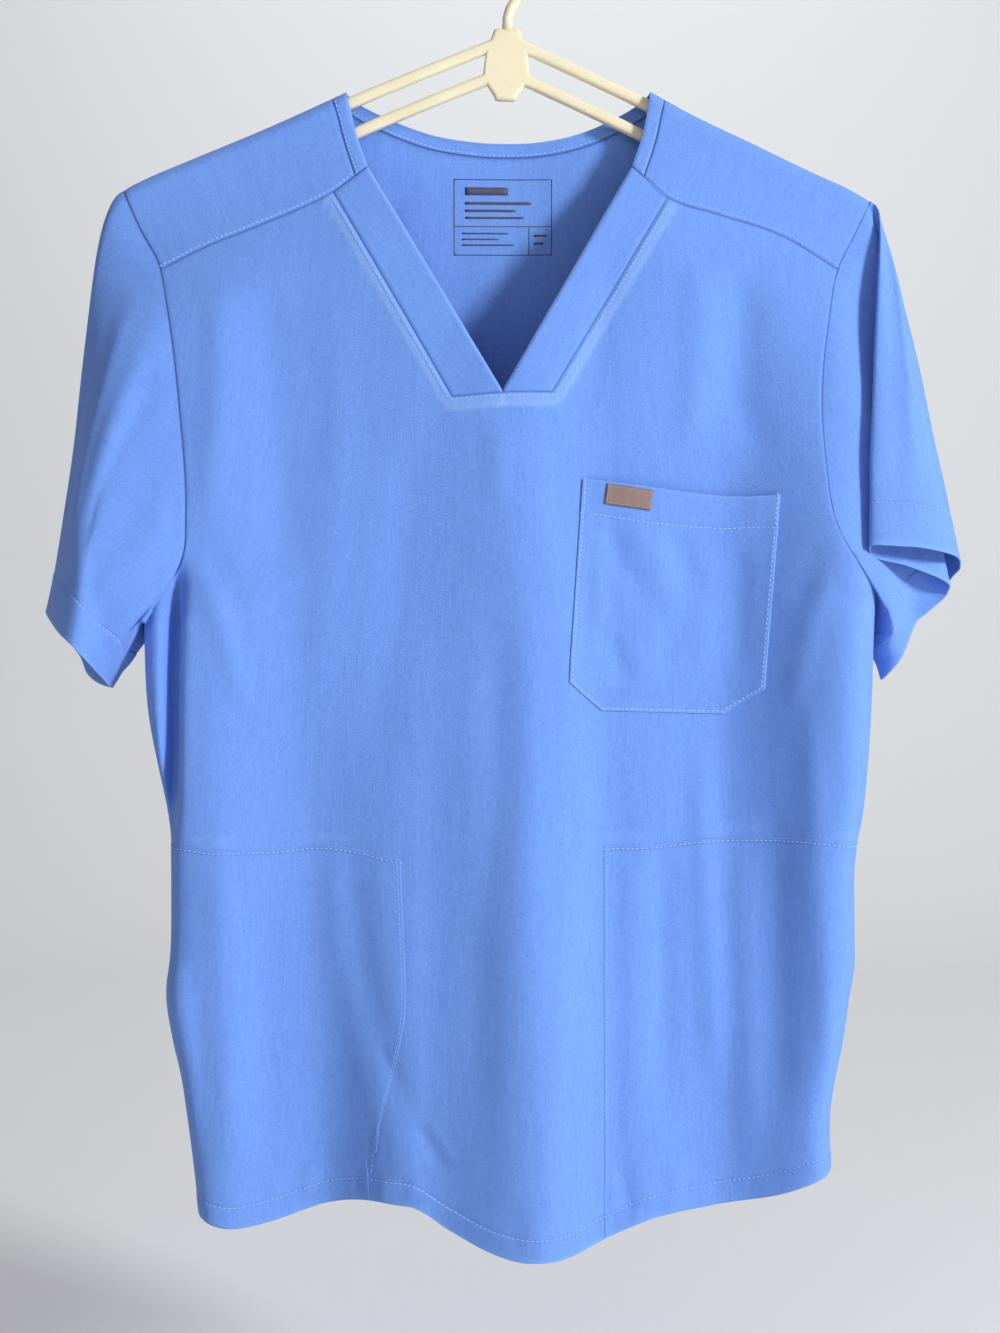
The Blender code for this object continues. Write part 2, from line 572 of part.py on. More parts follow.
def build_lower_pocket(collection, side):
    """A side-entry patch pocket, from its mouth seam to the hem."""
    name, inner, side_drop = {
        -1: ("lower_pocket_right", LOWER_INNER_RIGHT, LOWER_SIDE_DROP_RIGHT),
        1: ("lower_pocket_left", LOWER_INNER_LEFT, LOWER_SIDE_DROP_LEFT),
    }[side]
    inner_across = smooth_rows([p.drop for p in inner], [p.across for p in inner])
    places = np.linspace(0, 1, LOWER_COLUMNS + 1)
    rows = []
    for down in LOWER_DOWNS:
        level = inner[0].drop + (inner[-1].drop - inner[0].drop) * down
        edge_share = share_at(inner_across(level), level)
        shares = edge_share + (side * LOWER_SIDE_SHARE - edge_share) * places
        top = inner[0].drop + (side_drop - inner[0].drop) * places
        hem = hem_drop(across_at(shares, HEM_LEVEL))
        drop = top + (hem - top) * down
        rows.append(np.stack([across_at(shares, drop), drop], axis=1))
    grid = np.array(rows)
    points = raised_front(grid[..., 0], grid[..., 1], np.full(grid.shape[:2], LOWER_LIFT + THIN_WALL))
    cloth_piece(name, [points if side < 0 else points[:, ::-1]], collection, wall=THIN_WALL)


# ---------------------------------------------------------------- sleeves
def armhole_point(side):
    """Gives the point of the armhole at a share of the way round, from the shoulder by the front."""
    line = line_of(ARMHOLE_RIGHT if side < 0 else ARMHOLE_LEFT)
    under = smooth_step((line[:, 1] - 340) / 60)[:, None]
    outset = ARMHOLE_GAP - SEAM_GAP + UNDERARM_GAP * under
    dense = along(offset_line(line, -side * outset), np.linspace(0, 1, 80) ** 1.5)
    halves = []
    for facing in (-1, 1):
        points = surface(dense[:, 0], dense[:, 1], facing)
        points[0, 1] = 0
        lengths = lengths_along(points)
        halves.append((points, lengths / lengths[-1]))

    def at(share):
        share = share % 1.0
        points, lengths = halves[0] if share <= 0.5 else halves[1]
        place = 2 * share if share <= 0.5 else 2 * (1 - share)
        return np.array([np.interp(place, lengths, column) for column in points.T])

    return at


def round_cuff(rows, name, turn=0.0):
    """A smooth curve of one column of a cuff table, all the way round."""
    wrapped = [(r.share - 1, getattr(r, name) - turn) for r in rows[-2:]]
    wrapped += [(r.share, getattr(r, name)) for r in rows]
    wrapped += [(r.share + 1, getattr(r, name) + turn) for r in rows[:2]]
    return smooth_rows([w[0] for w in wrapped], [w[1] for w in wrapped])


def cuff_shares(rows):
    """Shares round the cuff, a few for each row of its table."""
    ends = [r.share for r in rows] + [1.0]
    steps = np.arange(SIDES_PER_CUFF_ROW) / SIDES_PER_CUFF_ROW
    return np.concatenate([a + (b - a) * steps for a, b in zip(ends, ends[1:])])


def sleeve_path(rows, side, armhole, share):
    """The cloth's way from the armhole to the cuff at one share of the way round."""
    column = {name: float(round_cuff(rows, name)(share)) for name in Cuff._fields[2:]}
    start = armhole(float(round_cuff(rows, "arm", 1.0)(share)))
    end = np.array([column["across"], -column["depth"], -column["drop"]])
    leave = start + np.array([side * column["out"], -column["fore"], -column["down"]])
    arrive = end + np.array([side * column["end_out"], -column["end_fore"], -column["end_down"]])
    t = SLEEVE_DOWNS[:, None]
    return (1 - t) ** 3 * start + 3 * t * (1 - t) ** 2 * leave + 3 * t * t * (1 - t) * arrive + t ** 3 * end


def build_sleeve(collection, side):
    name, rows = {-1: ("sleeve_right", CUFF_RIGHT), 1: ("sleeve_left", CUFF_LEFT)}[side]
    armhole = armhole_point(side)
    paths = [sleeve_path(rows, side, armhole, share) for share in cuff_shares(rows)]
    points = np.stack(paths, axis=1)
    cloth_piece(name, [points if side > 0 else points[:, ::-1]], collection, closed=True)


# ---------------------------------------------------------------- hanger
def tilt(across, drop):
    """Turns a point of the hanger about the hook's hanging point."""
    turn = math.cos(HANG_TILT), math.sin(HANG_TILT)
    return turn[0] * across + turn[1] * drop, -drop * turn[0] + turn[1] * across


def rail_edge(offset):
    """The right half of a line beside the upper rail's centre line."""
    return offset_line(smooth_line(UPPER_RAIL, np.linspace(0, 1, 9)), offset)


def round_end(upper, lower, steps=7):
    """The rails' outer end: a half circle from one edge to the other."""
    centre, radius = (upper + lower) / 2, np.linalg.norm(upper - lower) / 2
    start = math.atan2(*(upper - centre)[::-1])
    angles = start + np.linspace(0, math.pi, steps + 2)[1:-1]
    return centre + radius * np.stack([np.cos(angles), np.sin(angles)], axis=1)


def hanger_outlines():
    """The frame's outline and its two slots, as rings of (across, drop)."""
    half = RAIL_HALF_HEIGHT
    top, foot = rail_edge(-half), rail_edge(RAIL_SPACING + half)
    slot_top, slot_foot = rail_edge(half), rail_edge(RAIL_SPACING - half)
    block = [(0, BLOCK_TOP), (BLOCK_HALF_WIDTH - 3, BLOCK_TOP), (BLOCK_HALF_WIDTH, BLOCK_TOP + 4)]
    sole = [(BLOCK_FOOT_HALF_WIDTH + 1.2, BLOCK_FOOT - 3), (BLOCK_FOOT_HALF_WIDTH - 1.5, BLOCK_FOOT), (0, BLOCK_FOOT)]
    inside = foot[:, 0] > BLOCK_HALF_WIDTH + 1
    right = np.concatenate([block, top[1:], round_end(top[-1], foot[-1]), foot[inside][::-1], sole])
    outer = np.concatenate([right, right[-2:0:-1] * (-1, 1)])
    start = slot_top[:, 0] > BLOCK_HALF_WIDTH + 4
    start_foot = slot_foot[:, 0] > BLOCK_HALF_WIDTH + 1
    slot = np.concatenate([slot_top[start], round_end(slot_top[-1], slot_foot[-1], 4), slot_foot[start_foot][::-1]])
    return [outer, slot, slot[::-1] * (-1, 1)]


def build_hanger(collection):
    """The moulded frame: a flat outline with two slots, thickened and rounded at its edges."""
    curve = bpy.data.curves.new("hanger", "CURVE")
    curve.dimensions = "2D"
    curve.fill_mode = "BOTH"
    curve.bevel_depth = RAIL_BEVEL * MM
    curve.bevel_resolution = 1
    curve.extrude = (RAIL_DEPTH / 2 - RAIL_BEVEL) * MM
    curve.offset = -RAIL_BEVEL * MM
    for ring in hanger_outlines():
        spline = curve.splines.new("POLY")
        spline.points.add(len(ring) - 1)
        for point, (across, drop) in zip(spline.points, ring):
            x, z = tilt(across + FRAME_SHIFT, drop)
            point.co = (x * MM, z * MM, 0, 1)
        spline.use_cyclic_u = True
    made = add_object("hanger", curve, PLASTIC, collection)
    made.rotation_euler.x = math.pi / 2


def build_hook(collection):
    """The hook: a round rod, from its open end over the hanging point and down to the block."""
    centre = HOOK_BEND_RADIUS - HOOK_ROD_RADIUS
    angles = np.radians(np.linspace(HOOK_OPEN_ANGLE, HOOK_NECK_ANGLE, 22))
    bend = np.stack([np.cos(angles), -np.sin(angles)], axis=1) * HOOK_BEND_RADIUS + (0, centre)
    neck = bend[-1] + [(-5.5, 4.6), (-9.6, 9.2), (-12.4, 14.2)]
    shank = [(FRAME_SHIFT, BLOCK_TOP - 7), (FRAME_SHIFT, BLOCK_TOP - 2 * SEAM_GAP)]
    route = np.concatenate([bend, neck, shank])
    curve = bpy.data.curves.new("hanger_hook", "CURVE")
    curve.dimensions = "3D"
    curve.bevel_depth = HOOK_ROD_RADIUS * MM
    curve.bevel_resolution = 2
    curve.use_fill_caps = True
    spline = curve.splines.new("POLY")
    spline.points.add(len(route) - 1)
    for point, (across, drop) in zip(spline.points, route):
        x, z = tilt(across, drop)
        point.co = (x * MM, 0, z * MM, 1)
    add_object("hanger_hook", curve, PLASTIC, collection)


def main():
    for old in list(bpy.data.objects):
        bpy.data.objects.remove(old)
    collection = bpy.data.collections.new("scrub_top_on_hanger")
    bpy.context.scene.collection.children.link(collection)
    build_front(collection)
    build_back(collection)
    build_neck_binding(collection)
    build_chest_pocket(collection)
    build_pocket_tab(collection)
    for side in (-1, 1):
        build_sleeve(collection, side)
        build_v_band(collection, side)
        build_lower_pocket(collection, side)
    build_hanger(collection)
    build_hook(collection)


main()
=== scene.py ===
# %% [markdown]
# # A V-neck scrub top on its hanger
# A scrub top is sewn from a few flat panels of thin polyester and cotton: a front, a back that comes forward over
# both shoulders, two short sleeves, two bands for the V and three patch pockets. Hung on a hanger, the cloth falls
# straight from the shoulders and opens into soft vertical folds. Every panel here is a fine grid of points on one
# surface, so that its seams meet its neighbours exactly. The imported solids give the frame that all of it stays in.

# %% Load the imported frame
import math
from collections import namedtuple

import bmesh
import bpy
import numpy as np
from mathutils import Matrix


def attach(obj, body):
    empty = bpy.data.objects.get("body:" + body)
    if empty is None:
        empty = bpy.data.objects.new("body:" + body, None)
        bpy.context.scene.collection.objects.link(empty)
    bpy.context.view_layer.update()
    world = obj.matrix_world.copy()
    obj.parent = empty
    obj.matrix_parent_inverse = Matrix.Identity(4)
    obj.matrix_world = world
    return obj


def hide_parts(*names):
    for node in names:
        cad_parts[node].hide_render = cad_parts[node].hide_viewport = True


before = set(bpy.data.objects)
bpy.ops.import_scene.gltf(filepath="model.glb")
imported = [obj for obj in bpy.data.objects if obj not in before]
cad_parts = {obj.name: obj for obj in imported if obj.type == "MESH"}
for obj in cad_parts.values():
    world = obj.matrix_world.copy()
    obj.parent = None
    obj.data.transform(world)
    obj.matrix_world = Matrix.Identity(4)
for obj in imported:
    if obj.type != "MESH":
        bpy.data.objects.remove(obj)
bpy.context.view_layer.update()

MM = 0.001
print("solids:", sorted(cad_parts))

# %% [markdown]
# ## Camera
# The camera stands level with the middle of the top, straight in front of it. A long side of 36 mm and a lens of
# 52.4 mm give a view 858 mm high at the hanging plane, which is 1.25 m away.

# %% Camera
LENS, LONG_SIDE, CAMERA_PLACE = 52.42, 36.0, (-0.0032, -1.25, -0.4684)


def put_in_scene(name, data):
    """A new object of the scene that shows this data."""
    made = bpy.data.objects.new(name, data)
    bpy.context.scene.collection.objects.link(made)
    return made


camera = put_in_scene("camera", bpy.data.cameras.new("camera"))
camera.data.lens, camera.data.sensor_width = LENS, LONG_SIDE
camera.location, camera.rotation_euler = CAMERA_PLACE, (math.pi / 2, 0, 0)
bpy.context.scene.camera = camera
print("camera looks along +Y from", tuple(round(c, 3) for c in camera.location))

# %% [markdown]
# ## Sizes
# Lengths are in millimetres until a mesh is made. `across` runs from the wearer's right to the wearer's left,
# `drop` is the distance below the point where the hook hangs, and `depth` is how far the cloth stands out in front
# of the hanging plane, or behind it. The tables are the pattern: where the body turns at its sides, where each soft
# fold runs, and the lines of the shoulder, the neck, the armholes and the hem.

# %% The body's sections and its soft folds
CAP_RADIUS, OPENING_OUT, TURN, FRONT_TURN = 10.0, 110.0, 9.0, 22.0
HEM_LEVEL = 810.0

Ring = namedtuple("Ring", "drop left right front back")
BODY_RINGS = [
    Ring(95, -305, 300, 12, 12), Ring(165, -290, 285, 20, 18), Ring(230, -270, 266, 29, 24),
    Ring(300, -252, 250, 36, 30), Ring(370, -238, 240, 42, 35), Ring(430, -230, 233, 47, 39),
    Ring(496, -226, 229.5, 52, 43), Ring(554, -215, 224.3, 55, 46), Ring(600, -210, 216.8, 57, 48),
    Ring(648, -210.4, 216.8, 59, 51), Ring(672, -212.8, 213.2, 60, 52), Ring(700, -208.8, 208.7, 61, 54),
    Ring(722, -203.8, 204.2, 61, 55), Ring(747, -199.8, 201.2, 62, 56), Ring(790, -194.8, 201.6, 63, 58),
    Ring(870, -187.4, 195, 64, 60),
]
Flute = namedtuple("Flute", "name top hem rises")
FLUTE_LEVELS = (250, 460, 650, 850)
FRONT_FLUTES = [
    Flute("side_right", -300, -200, (0, 0, 0, 0)), Flute("crest_right", -190, -184, (0, -1, -4, -10)),
    Flute("trough_right", -128, -116, (-4, -12, -16, -26)), Flute("slope_right", -50, -52, (1, -8, 2, 8)),
    Flute("crest_centre", 8, 18, (4, 1, 20, 31)), Flute("foot_left", 71, 73, (-5, -14, -3, 8)),
    Flute("trough_left", 134, 128, (-7, -19, -9, -2)), Flute("crest_left", 221, 206, (0, 16, 21, 24)),
    Flute("side_left", 300, 210, (0, 16, 20, 20)),
]
BACK_FLUTES = [
    Flute("side_right", -300, -196, (0, 0, 0, 0)), Flute("crest_right", -160, -150, (3, 6, 10, 16)),
    Flute("trough_right", -70, -88, (-3, -7, -12, -16)), Flute("crest_centre", 0, -12, (2, 6, 9, 14)),
    Flute("trough_left", 84, 70, (-3, -9, -14, -20)), Flute("crest_left", 165, 150, (3, 5, 10, 14)),
    Flute("side_left", 300, 206, (0, 0, 0, 0)),
]
FLUTE_START, FLUTE_FULL = 160.0, 280.0
print(len(BODY_RINGS), "sections,", len(FRONT_FLUTES) + len(BACK_FLUTES), "folds")

# %% The pattern's lines
Point = namedtuple("Point", "across drop")


def points_of(*pairs):
    return [Point(*pair) for pair in pairs]


SHOULDER_LINE = points_of(
    (-256, 172), (-245, 162.5), (-228, 153.5), (-203, 143), (-151, 121.3), (-102, 99), (-60, 79), (0, 55), (52, 78),
    (93.4, 98.7), (119, 112.9), (158, 131.6), (196, 150), (222, 162), (235, 170), (247, 180))
BACK_NECK = points_of(
    (-102, 99), (-96, 103), (-78, 112), (-48, 123), (-20, 127.5), (0, 128.3), (22, 127.5), (48, 122.5), (72, 112.5),
    (88, 103), (93.4, 98.7))
FRONT_NECK = {-1: points_of((-102, 99), (-98.5, 113.5), (-94.5, 129.5), (-87.5, 149.5)),
              1: points_of((93.4, 98.7), (91, 112.5), (87.5, 129.5), (80.8, 149.5))}
YOKE = {-1: points_of((-218.8, 216.6), (-187.2, 200.6), (-155.6, 187.7), (-109.5, 166.5)),
        1: points_of((211.4, 216.3), (174.9, 193.7), (136.7, 181), (103.4, 170.3))}
V_TIP, V_SEAM_CENTRE = Point(-1.6, 296.0), Point(-1.6, 297.2)
V_SEAM = {-1: Point(-33.4, 299.4), 1: Point(29.4, 296.6)}
ARMHOLE = {
    -1: points_of((-245, 162.5), (-232.9, 189.6), (-218.8, 216.6), (-210.7, 256.5), (-205, 301), (-199.2, 376.6),
                  (-201.5, 401.6), (-209.5, 415), (-221, 426.5), (-231, 446)),
    1: points_of((234.5, 169.6), (223.3, 192.8), (211.4, 216.3), (202.9, 256.6), (198.3, 301.3), (200, 345),
                 (204, 376), (212.5, 396), (222.5, 410), (234.3, 432)),
}
HEM = points_of(
    (-200, 804), (-187, 811.5), (-168, 815.6), (-144, 812.4), (-109, 802), (-84, 797.1), (-59, 797), (-34, 810),
    (-9, 820.2), (15, 824.4), (39, 822.8), (63, 814.8), (88, 805.6), (126, 798.8), (163, 790), (188, 779.4), (210, 771))
BACK_HEM = points_of((-200, 804), (-150, 816), (-88, 810), (-12, 818), (70, 806), (150, 801), (210, 771))
print("armhole from shoulder to side seam:", [len(line) for line in ARMHOLE.values()], "points")

# %% The binding, pockets and tab
BINDING_WIDTH, NECK_SWING = 9.1, 18.0
PocketRow = namedtuple("PocketRow", "right_across right_drop left_across left_drop")
CHEST_POCKET = [
    PocketRow(48.2, 351.0, 172.6, 361.2), PocketRow(46.4, 380.5, 170.3, 386.5), PocketRow(44.4, 408.0, 168.0, 412.0),
    PocketRow(42.4, 436.0, 165.6, 438.0), PocketRow(40.6, 460.0, 163.5, 462.0), PocketRow(39.6, 478.2, 161.7, 482.7),
    PocketRow(50.0, 487.5, 149.0, 490.5), PocketRow(59.9, 496.0, 136.4, 498.2),
]
MOUTH_BULGE, MOUTH_DIP, MOUTH_REACH = 4.6, 3.4, 60.0
TAB_CORNER, TAB_WIDTH, TAB_HEIGHT, TAB_SLOPE = Point(63.2, 354.0), 29.0, 12.8, 0.15
LOWER_MOUTH = {
    -1: points_of((-222, 579), (-201, 579.3), (-178, 581.8), (-150, 581.8), (-114, 579.3), (-95, 581.2), (-80, 584.2),
                  (-64.5, 587.5)),
    1: points_of((60.8, 579.3), (95, 578.4), (119, 575.6), (156, 573.8), (183, 573.6), (208, 575.8), (226, 576.6)),
}
LOWER_INNER = {
    -1: points_of((-64.5, 587.5), (-62, 642), (-61, 675), (-66, 710), (-75, 745), (-83, 800)),
    1: points_of((60.8, 579.3), (60.6, 640), (60.4, 720), (60, 812)),
}
print("binding", BINDING_WIDTH, "mm wide; chest pocket", len(CHEST_POCKET), "rows")

# %% The sleeves' cuffs
# Round from the outer fold by the front to the underarm and the back: how far round the cuff and the armhole, where
# the cuff lies, and the two handles that bend the cloth's way down from the armhole. Fore is to the front.
Cuff = namedtuple("Cuff", "share arm across depth drop out fore down end_out end_fore end_down")
CUFF = {
    -1: [
        Cuff(0.000, 0.000, -295, 2, 433, 25, 0, 5, -26, 0, -110),
        Cuff(0.120, 0.110, -281, 46, 442, 28, 12, 36, -14, -4, -100),
        Cuff(0.240, 0.230, -262, 72, 457, 42, 16, 50, -8, -6, -80),
        Cuff(0.360, 0.370, -251, 56, 472, 18, 22, 48, 6, 2, -30),
        Cuff(0.470, 0.460, -250, 22, 481, 1, 6, 11, -7, 3, -14),
        Cuff(0.560, 0.530, -256, -12, 482, 3, -6, 12, -4, -2, -16),
        Cuff(0.680, 0.640, -276, -46, 476, 18, -20, 44, 4, -4, -46),
        Cuff(0.790, 0.770, -286, -58, 462, 40, -16, 50, -6, -2, -80),
        Cuff(0.900, 0.890, -298, -40, 440, 28, -12, 36, -14, 0, -100),
    ],
    1: [
        Cuff(0.000, 0.000, 292, 6, 405, 9, 0, 12, -27, 2, -105),
        Cuff(0.075, 0.003, 279, 42, 399, 13, 8, 12, -16, -2, -96),
        Cuff(0.150, 0.005, 247, 53, 394.4, 14, 9, 8, -6, -12, -120),
        Cuff(0.215, 0.007, 225.5, 50, 394.7, 14, 8, 2, 1, -15, -150),
        Cuff(0.235, 0.008, 227, 43, 399, 14, 4, 3, 1, -16, -140),
        Cuff(0.310, 0.010, 253, 36, 406, 13, 0, 14, -6, -16, -110),
        Cuff(0.385, 0.013, 280, 27, 417, 8, -2, 26, -22, -8, -105),
        Cuff(0.410, 0.017, 281, 20, 421, 11, 2, 32, -22, -4, -100),
        Cuff(0.470, 0.240, 268, 14, 435, 34, 14, 50, -18, 2, -30),
        Cuff(0.505, 0.375, 262, 12, 441, 26, 6, 40, -17, 3, -8),
        Cuff(0.545, 0.455, 254, 8, 462, 9, 0, 26, -12, 4, -6),
        Cuff(0.600, 0.530, 244, -8, 477, 5, -6, 30, -6, -2, -18),
        Cuff(0.720, 0.660, 268, -38, 444, 22, -14, 50, -10, -4, -40),
        Cuff(0.830, 0.790, 288, -44, 420, 34, -12, 40, -12, 0, -80),
        Cuff(0.920, 0.900, 294, -26, 410, 24, -8, 26, -18, 0, -98),
    ],
}
SLEEVE_HEM = 27.0
print("cuff rows:", {side: len(rows) for side, rows in CUFF.items()})

# %% [markdown]
# ## Lines and curves
# Pattern lines are short tables of points. A cubic that never overshoots a crest joins them smoothly, and the same
# cubic serves for a seam, for a section of the body and for a column of the cuff table.

# %% Smooth lines through a table
def smooth_rows(places, values):
    """A smooth curve through a table's rows that overshoots no crest."""
    places, values = np.asarray(places, float), np.asarray(values, float)
    rise = np.diff(values) / np.diff(places)
    slope = np.concatenate([rise[:1], (rise[:-1] + rise[1:]) / 2, rise[-1:]])
    slope[1:-1][rise[:-1] * rise[1:] <= 0] = 0

    def at(where):
        where = np.clip(np.asarray(where, float), places[0], places[-1])
        i = np.clip(np.searchsorted(places, where, side="right") - 1, 0, len(places) - 2)
        span = places[i + 1] - places[i]
        t = (where - places[i]) / span
        low = (1 + 2 * t) * (1 - t) ** 2 * values[i] + t * (1 - t) ** 2 * span * slope[i]
        high = t * t * (3 - 2 * t) * values[i + 1] + t * t * (t - 1) * span * slope[i + 1]
        return low + high

    return at


def smooth_points(points):
    """A table's line as its drop at each place across."""
    return smooth_rows([p.across for p in points], [p.drop for p in points])


def smooth_drops(points):
    """A table's line as its place across at each drop."""
    return smooth_rows([p.drop for p in points], [p.across for p in points])


def line_of(points):
    return np.array([(p.across, p.drop) for p in points], float)


def lengths_along(line):
    return np.concatenate([[0], np.cumsum(np.linalg.norm(np.diff(line, axis=0), axis=1))])


def along(line, places):
    """Points of a line at shares of its length."""
    lengths = lengths_along(line)
    return np.stack([np.interp(places, lengths / lengths[-1], column) for column in line.T], axis=1)


def smooth_line(points, places):
    """Points of a smooth line through a table's points, at shares of its length."""
    line = line_of(points)
    lengths = lengths_along(line)
    return np.stack([smooth_rows(lengths, column)(np.asarray(places) * lengths[-1]) for column in line.T], axis=1)


def offset_line(line, distance):
    """A line moved to its right-hand side, seen with drop pointing down."""
    ahead = np.gradient(line, axis=0)
    ahead /= np.linalg.norm(ahead, axis=1)[:, None]
    return line + distance * np.stack([-ahead[:, 1], ahead[:, 0]], axis=1)


def join_lines(*lines):
    return np.concatenate([lines[0], *[line[1:] for line in lines[1:]]])


def smooth_step(t):
    t = np.clip(t, 0, 1)
    return t * t * (3 - 2 * t)


def bell(distance, width):
    """1 on a line, fading to 0 on both sides of it."""
    return np.exp(-(distance / width) ** 2)


def near_line(across, drop, line):
    """Distance from points to a line, and how far along it, from 0 to 1, the nearest place is."""
    best, place = np.full(np.shape(across), 1e9), np.zeros(np.shape(across))
    lengths = lengths_along(line)
    for i in range(len(line) - 1):
        a, way = line[i], line[i + 1] - line[i]
        t = np.clip(((across - a[0]) * way[0] + (drop - a[1]) * way[1]) / (way @ way), 0, 1)
        distance = np.hypot(across - a[0] - t * way[0], drop - a[1] - t * way[1])
        closer = distance < best
        best = np.where(closer, distance, best)
        place = np.where(closer, (lengths[i] + t * (lengths[i + 1] - lengths[i])) / lengths[-1], place)
    return best, place


left_turn, right_turn, front_stand, back_stand = (
    smooth_rows([r.drop for r in BODY_RINGS], [getattr(r, name) for r in BODY_RINGS])
    for name in ("left", "right", "front", "back"))
shoulder_drop, hem_drop, back_hem_drop = smooth_points(SHOULDER_LINE), smooth_points(HEM), smooth_points(BACK_HEM)
print("hem in front at the middle:", float(hem_drop(0)), "mm down")

# %% Round the body's sides
TURN_SHARES = np.linspace(0, 1, 400)
TURN_REACH = TURN_SHARES * (1 + 1 / TURN - TURN_SHARES ** TURN / TURN)


def across_at(share, drop):
    """Where a share of the way round, from -1 to 1, lies across the body."""
    low, high = left_turn(drop), right_turn(drop)
    reach = np.sign(share) * np.interp(np.abs(share), TURN_SHARES, TURN_REACH)
    return (low + high) / 2 + reach * (high - low) / 2


def share_at(across, drop):
    low, high = left_turn(drop), right_turn(drop)
    reach = np.clip((across - (low + high) / 2) / ((high - low) / 2), -1, 1)
    return np.sign(reach) * np.interp(np.abs(reach), TURN_REACH, TURN_SHARES)


def armhole_share(side):
    """The armhole's share of the way round at each drop; it reaches 1 where the side seam begins."""
    line = line_of(ARMHOLE[side])
    shares = share_at(line[:, 0], line[:, 1])
    shares[-1] = side
    return smooth_rows(line[:, 1], shares)


arm_share = {side: armhole_share(side) for side in (-1, 1)}


def arm_across(side, drops):
    return across_at(arm_share[side](drops), drops)


print("armhole at the chest:", [round(float(arm_across(side, 300.0)), 1) for side in (-1, 1)])

# %% [markdown]
# ## Small folds and creases
# Thin cloth keeps the marks of being folded and pulled: long shallow streaks that run down from the chest, a short
# diagonal crease where the cloth bends over its own fold, and tiny pinches. Each one is a soft ridge or trough along
# a short path, wide or narrow, that fades out at both ends. A gentle wave in two directions keeps the plain areas
# from looking like moulded plastic.

# %% Creases in front and behind
Crease = namedtuple("Crease", "path width height")
FRONT_CREASES = [
    Crease([(-4, 395), (-6, 470), (-3, 552), (-15, 640), (-17, 790)], 13, -2.4),
    Crease([(22, 330), (36, 430), (46, 560), (34, 700), (24, 830)], 10, 1.6),
    Crease([(-96, 560), (-90, 640), (-70, 712), (-38, 785)], 9, -1.4),
    Crease([(-108, 540), (-104, 640), (-86, 720), (-52, 800)], 9, 1.0),
    Crease([(-78, 700), (-63.7, 727)], 3.6, -0.7), Crease([(-72, 700), (-58, 724)], 3.4, 0.4),
    Crease([(-55, 746), (-34, 778)], 3.6, -0.9), Crease([(-48, 744), (-28, 774)], 3.4, 0.6),
    Crease([(-76, 796), (-72, 780)], 3.4, 0.9), Crease([(-66, 797), (-60, 778)], 3.6, -1.0),
    Crease([(-52, 804), (-46, 786)], 3.6, 0.9), Crease([(-92, 796), (-90, 780)], 3.2, -0.8),
    Crease([(-79, 750), (-78, 778)], 1.6, 0.9),
    Crease([(121, 502), (124, 600), (130, 740)], 8, 2.4), Crease([(97, 560), (97, 760)], 9, -2.4),
    Crease([(166, 540), (168, 760)], 10, -2.6), Crease([(146, 560), (149, 700), (150, 790)], 7, 1.6),
    Crease([(186, 470), (190, 600), (196, 740)], 7, 1.6),
    Crease([(121, 205), (122, 280), (116, 345)], 11, 2.0), Crease([(149, 205), (150, 300), (166, 350)], 12, -2.2),
    Crease([(-180, 214), (-178, 300), (-186, 390)], 11, 2.0), Crease([(-152, 205), (-146, 300), (-140, 420)], 13, -1.8),
    Crease([(-112, 200), (-104, 330), (-120, 520)], 12, 1.4), Crease([(-60, 300), (-66, 430), (-88, 560)], 14, -1.6),
    Crease([(-176, 560), (-172, 680), (-166, 800)], 9, 2.0), Crease([(-150, 600), (-148, 790)], 10, -1.6),
    Crease([(-205, 640), (-196, 700), (-190, 770)], 6, 1.6),
    Crease([(70, 200), (60, 260), (40, 330)], 9, -1.2), Crease([(-2, 312), (-6, 370)], 9, 1.2),
    Crease([(-196, 398), (-176, 440), (-160, 500)], 7, 1.8), Crease([(-186, 392), (-160, 440)], 6, -1.4),
    Crease([(204, 404), (188, 440), (176, 500)], 7, 1.6), Crease([(196, 392), (178, 430)], 6, -1.2),
    Crease([(-124, 800), (-120, 770)], 5, 1.2), Crease([(4, 790), (6, 824)], 7, -1.0),
    Crease([(70, 770), (78, 806)], 6, -1.6), Crease([(104, 770), (108, 802)], 6, 1.3),
]
BACK_CREASES = [
    Crease([(-30, 150), (-34, 300), (-48, 520), (-60, 800)], 13, 2.6),
    Crease([(26, 150), (30, 320), (44, 560), (40, 800)], 13, -2.6),
    Crease([(-120, 180), (-116, 330), (-128, 520), (-118, 780)], 12, -2.6),
    Crease([(112, 170), (120, 330), (116, 540), (122, 780)], 12, 2.6),
    Crease([(-176, 240), (-184, 380), (-178, 560)], 10, 2.0), Crease([(170, 240), (182, 380), (176, 560)], 10, -2.0),
    Crease([(-60, 138), (-84, 200), (-96, 280)], 9, 1.6), Crease([(58, 138), (78, 200), (86, 280)], 9, 1.6),
    Crease([(-198, 396), (-168, 440), (-150, 520)], 8, 1.8), Crease([(200, 396), (172, 440), (158, 520)], 8, 1.8),
    Crease([(-20, 640), (6, 700), (30, 790)], 6, 2.0), Crease([(-8, 636), (18, 696), (42, 786)], 6, -1.8),
    Crease([(-150, 640), (-140, 800)], 8, 1.8), Crease([(150, 600), (146, 796)], 9, -2.0),
    Crease([(90, 650), (92, 800)], 8, 1.8),
]
SIDE_FOLDS = [Crease([(-202, 396), (-206, 425), (-207, 470), (-207, 520), (-208, 560), (-209, 590)], 4.6, -20)]
CREASE_FADE, RIPPLE_HEIGHT = 0.25, 0.7


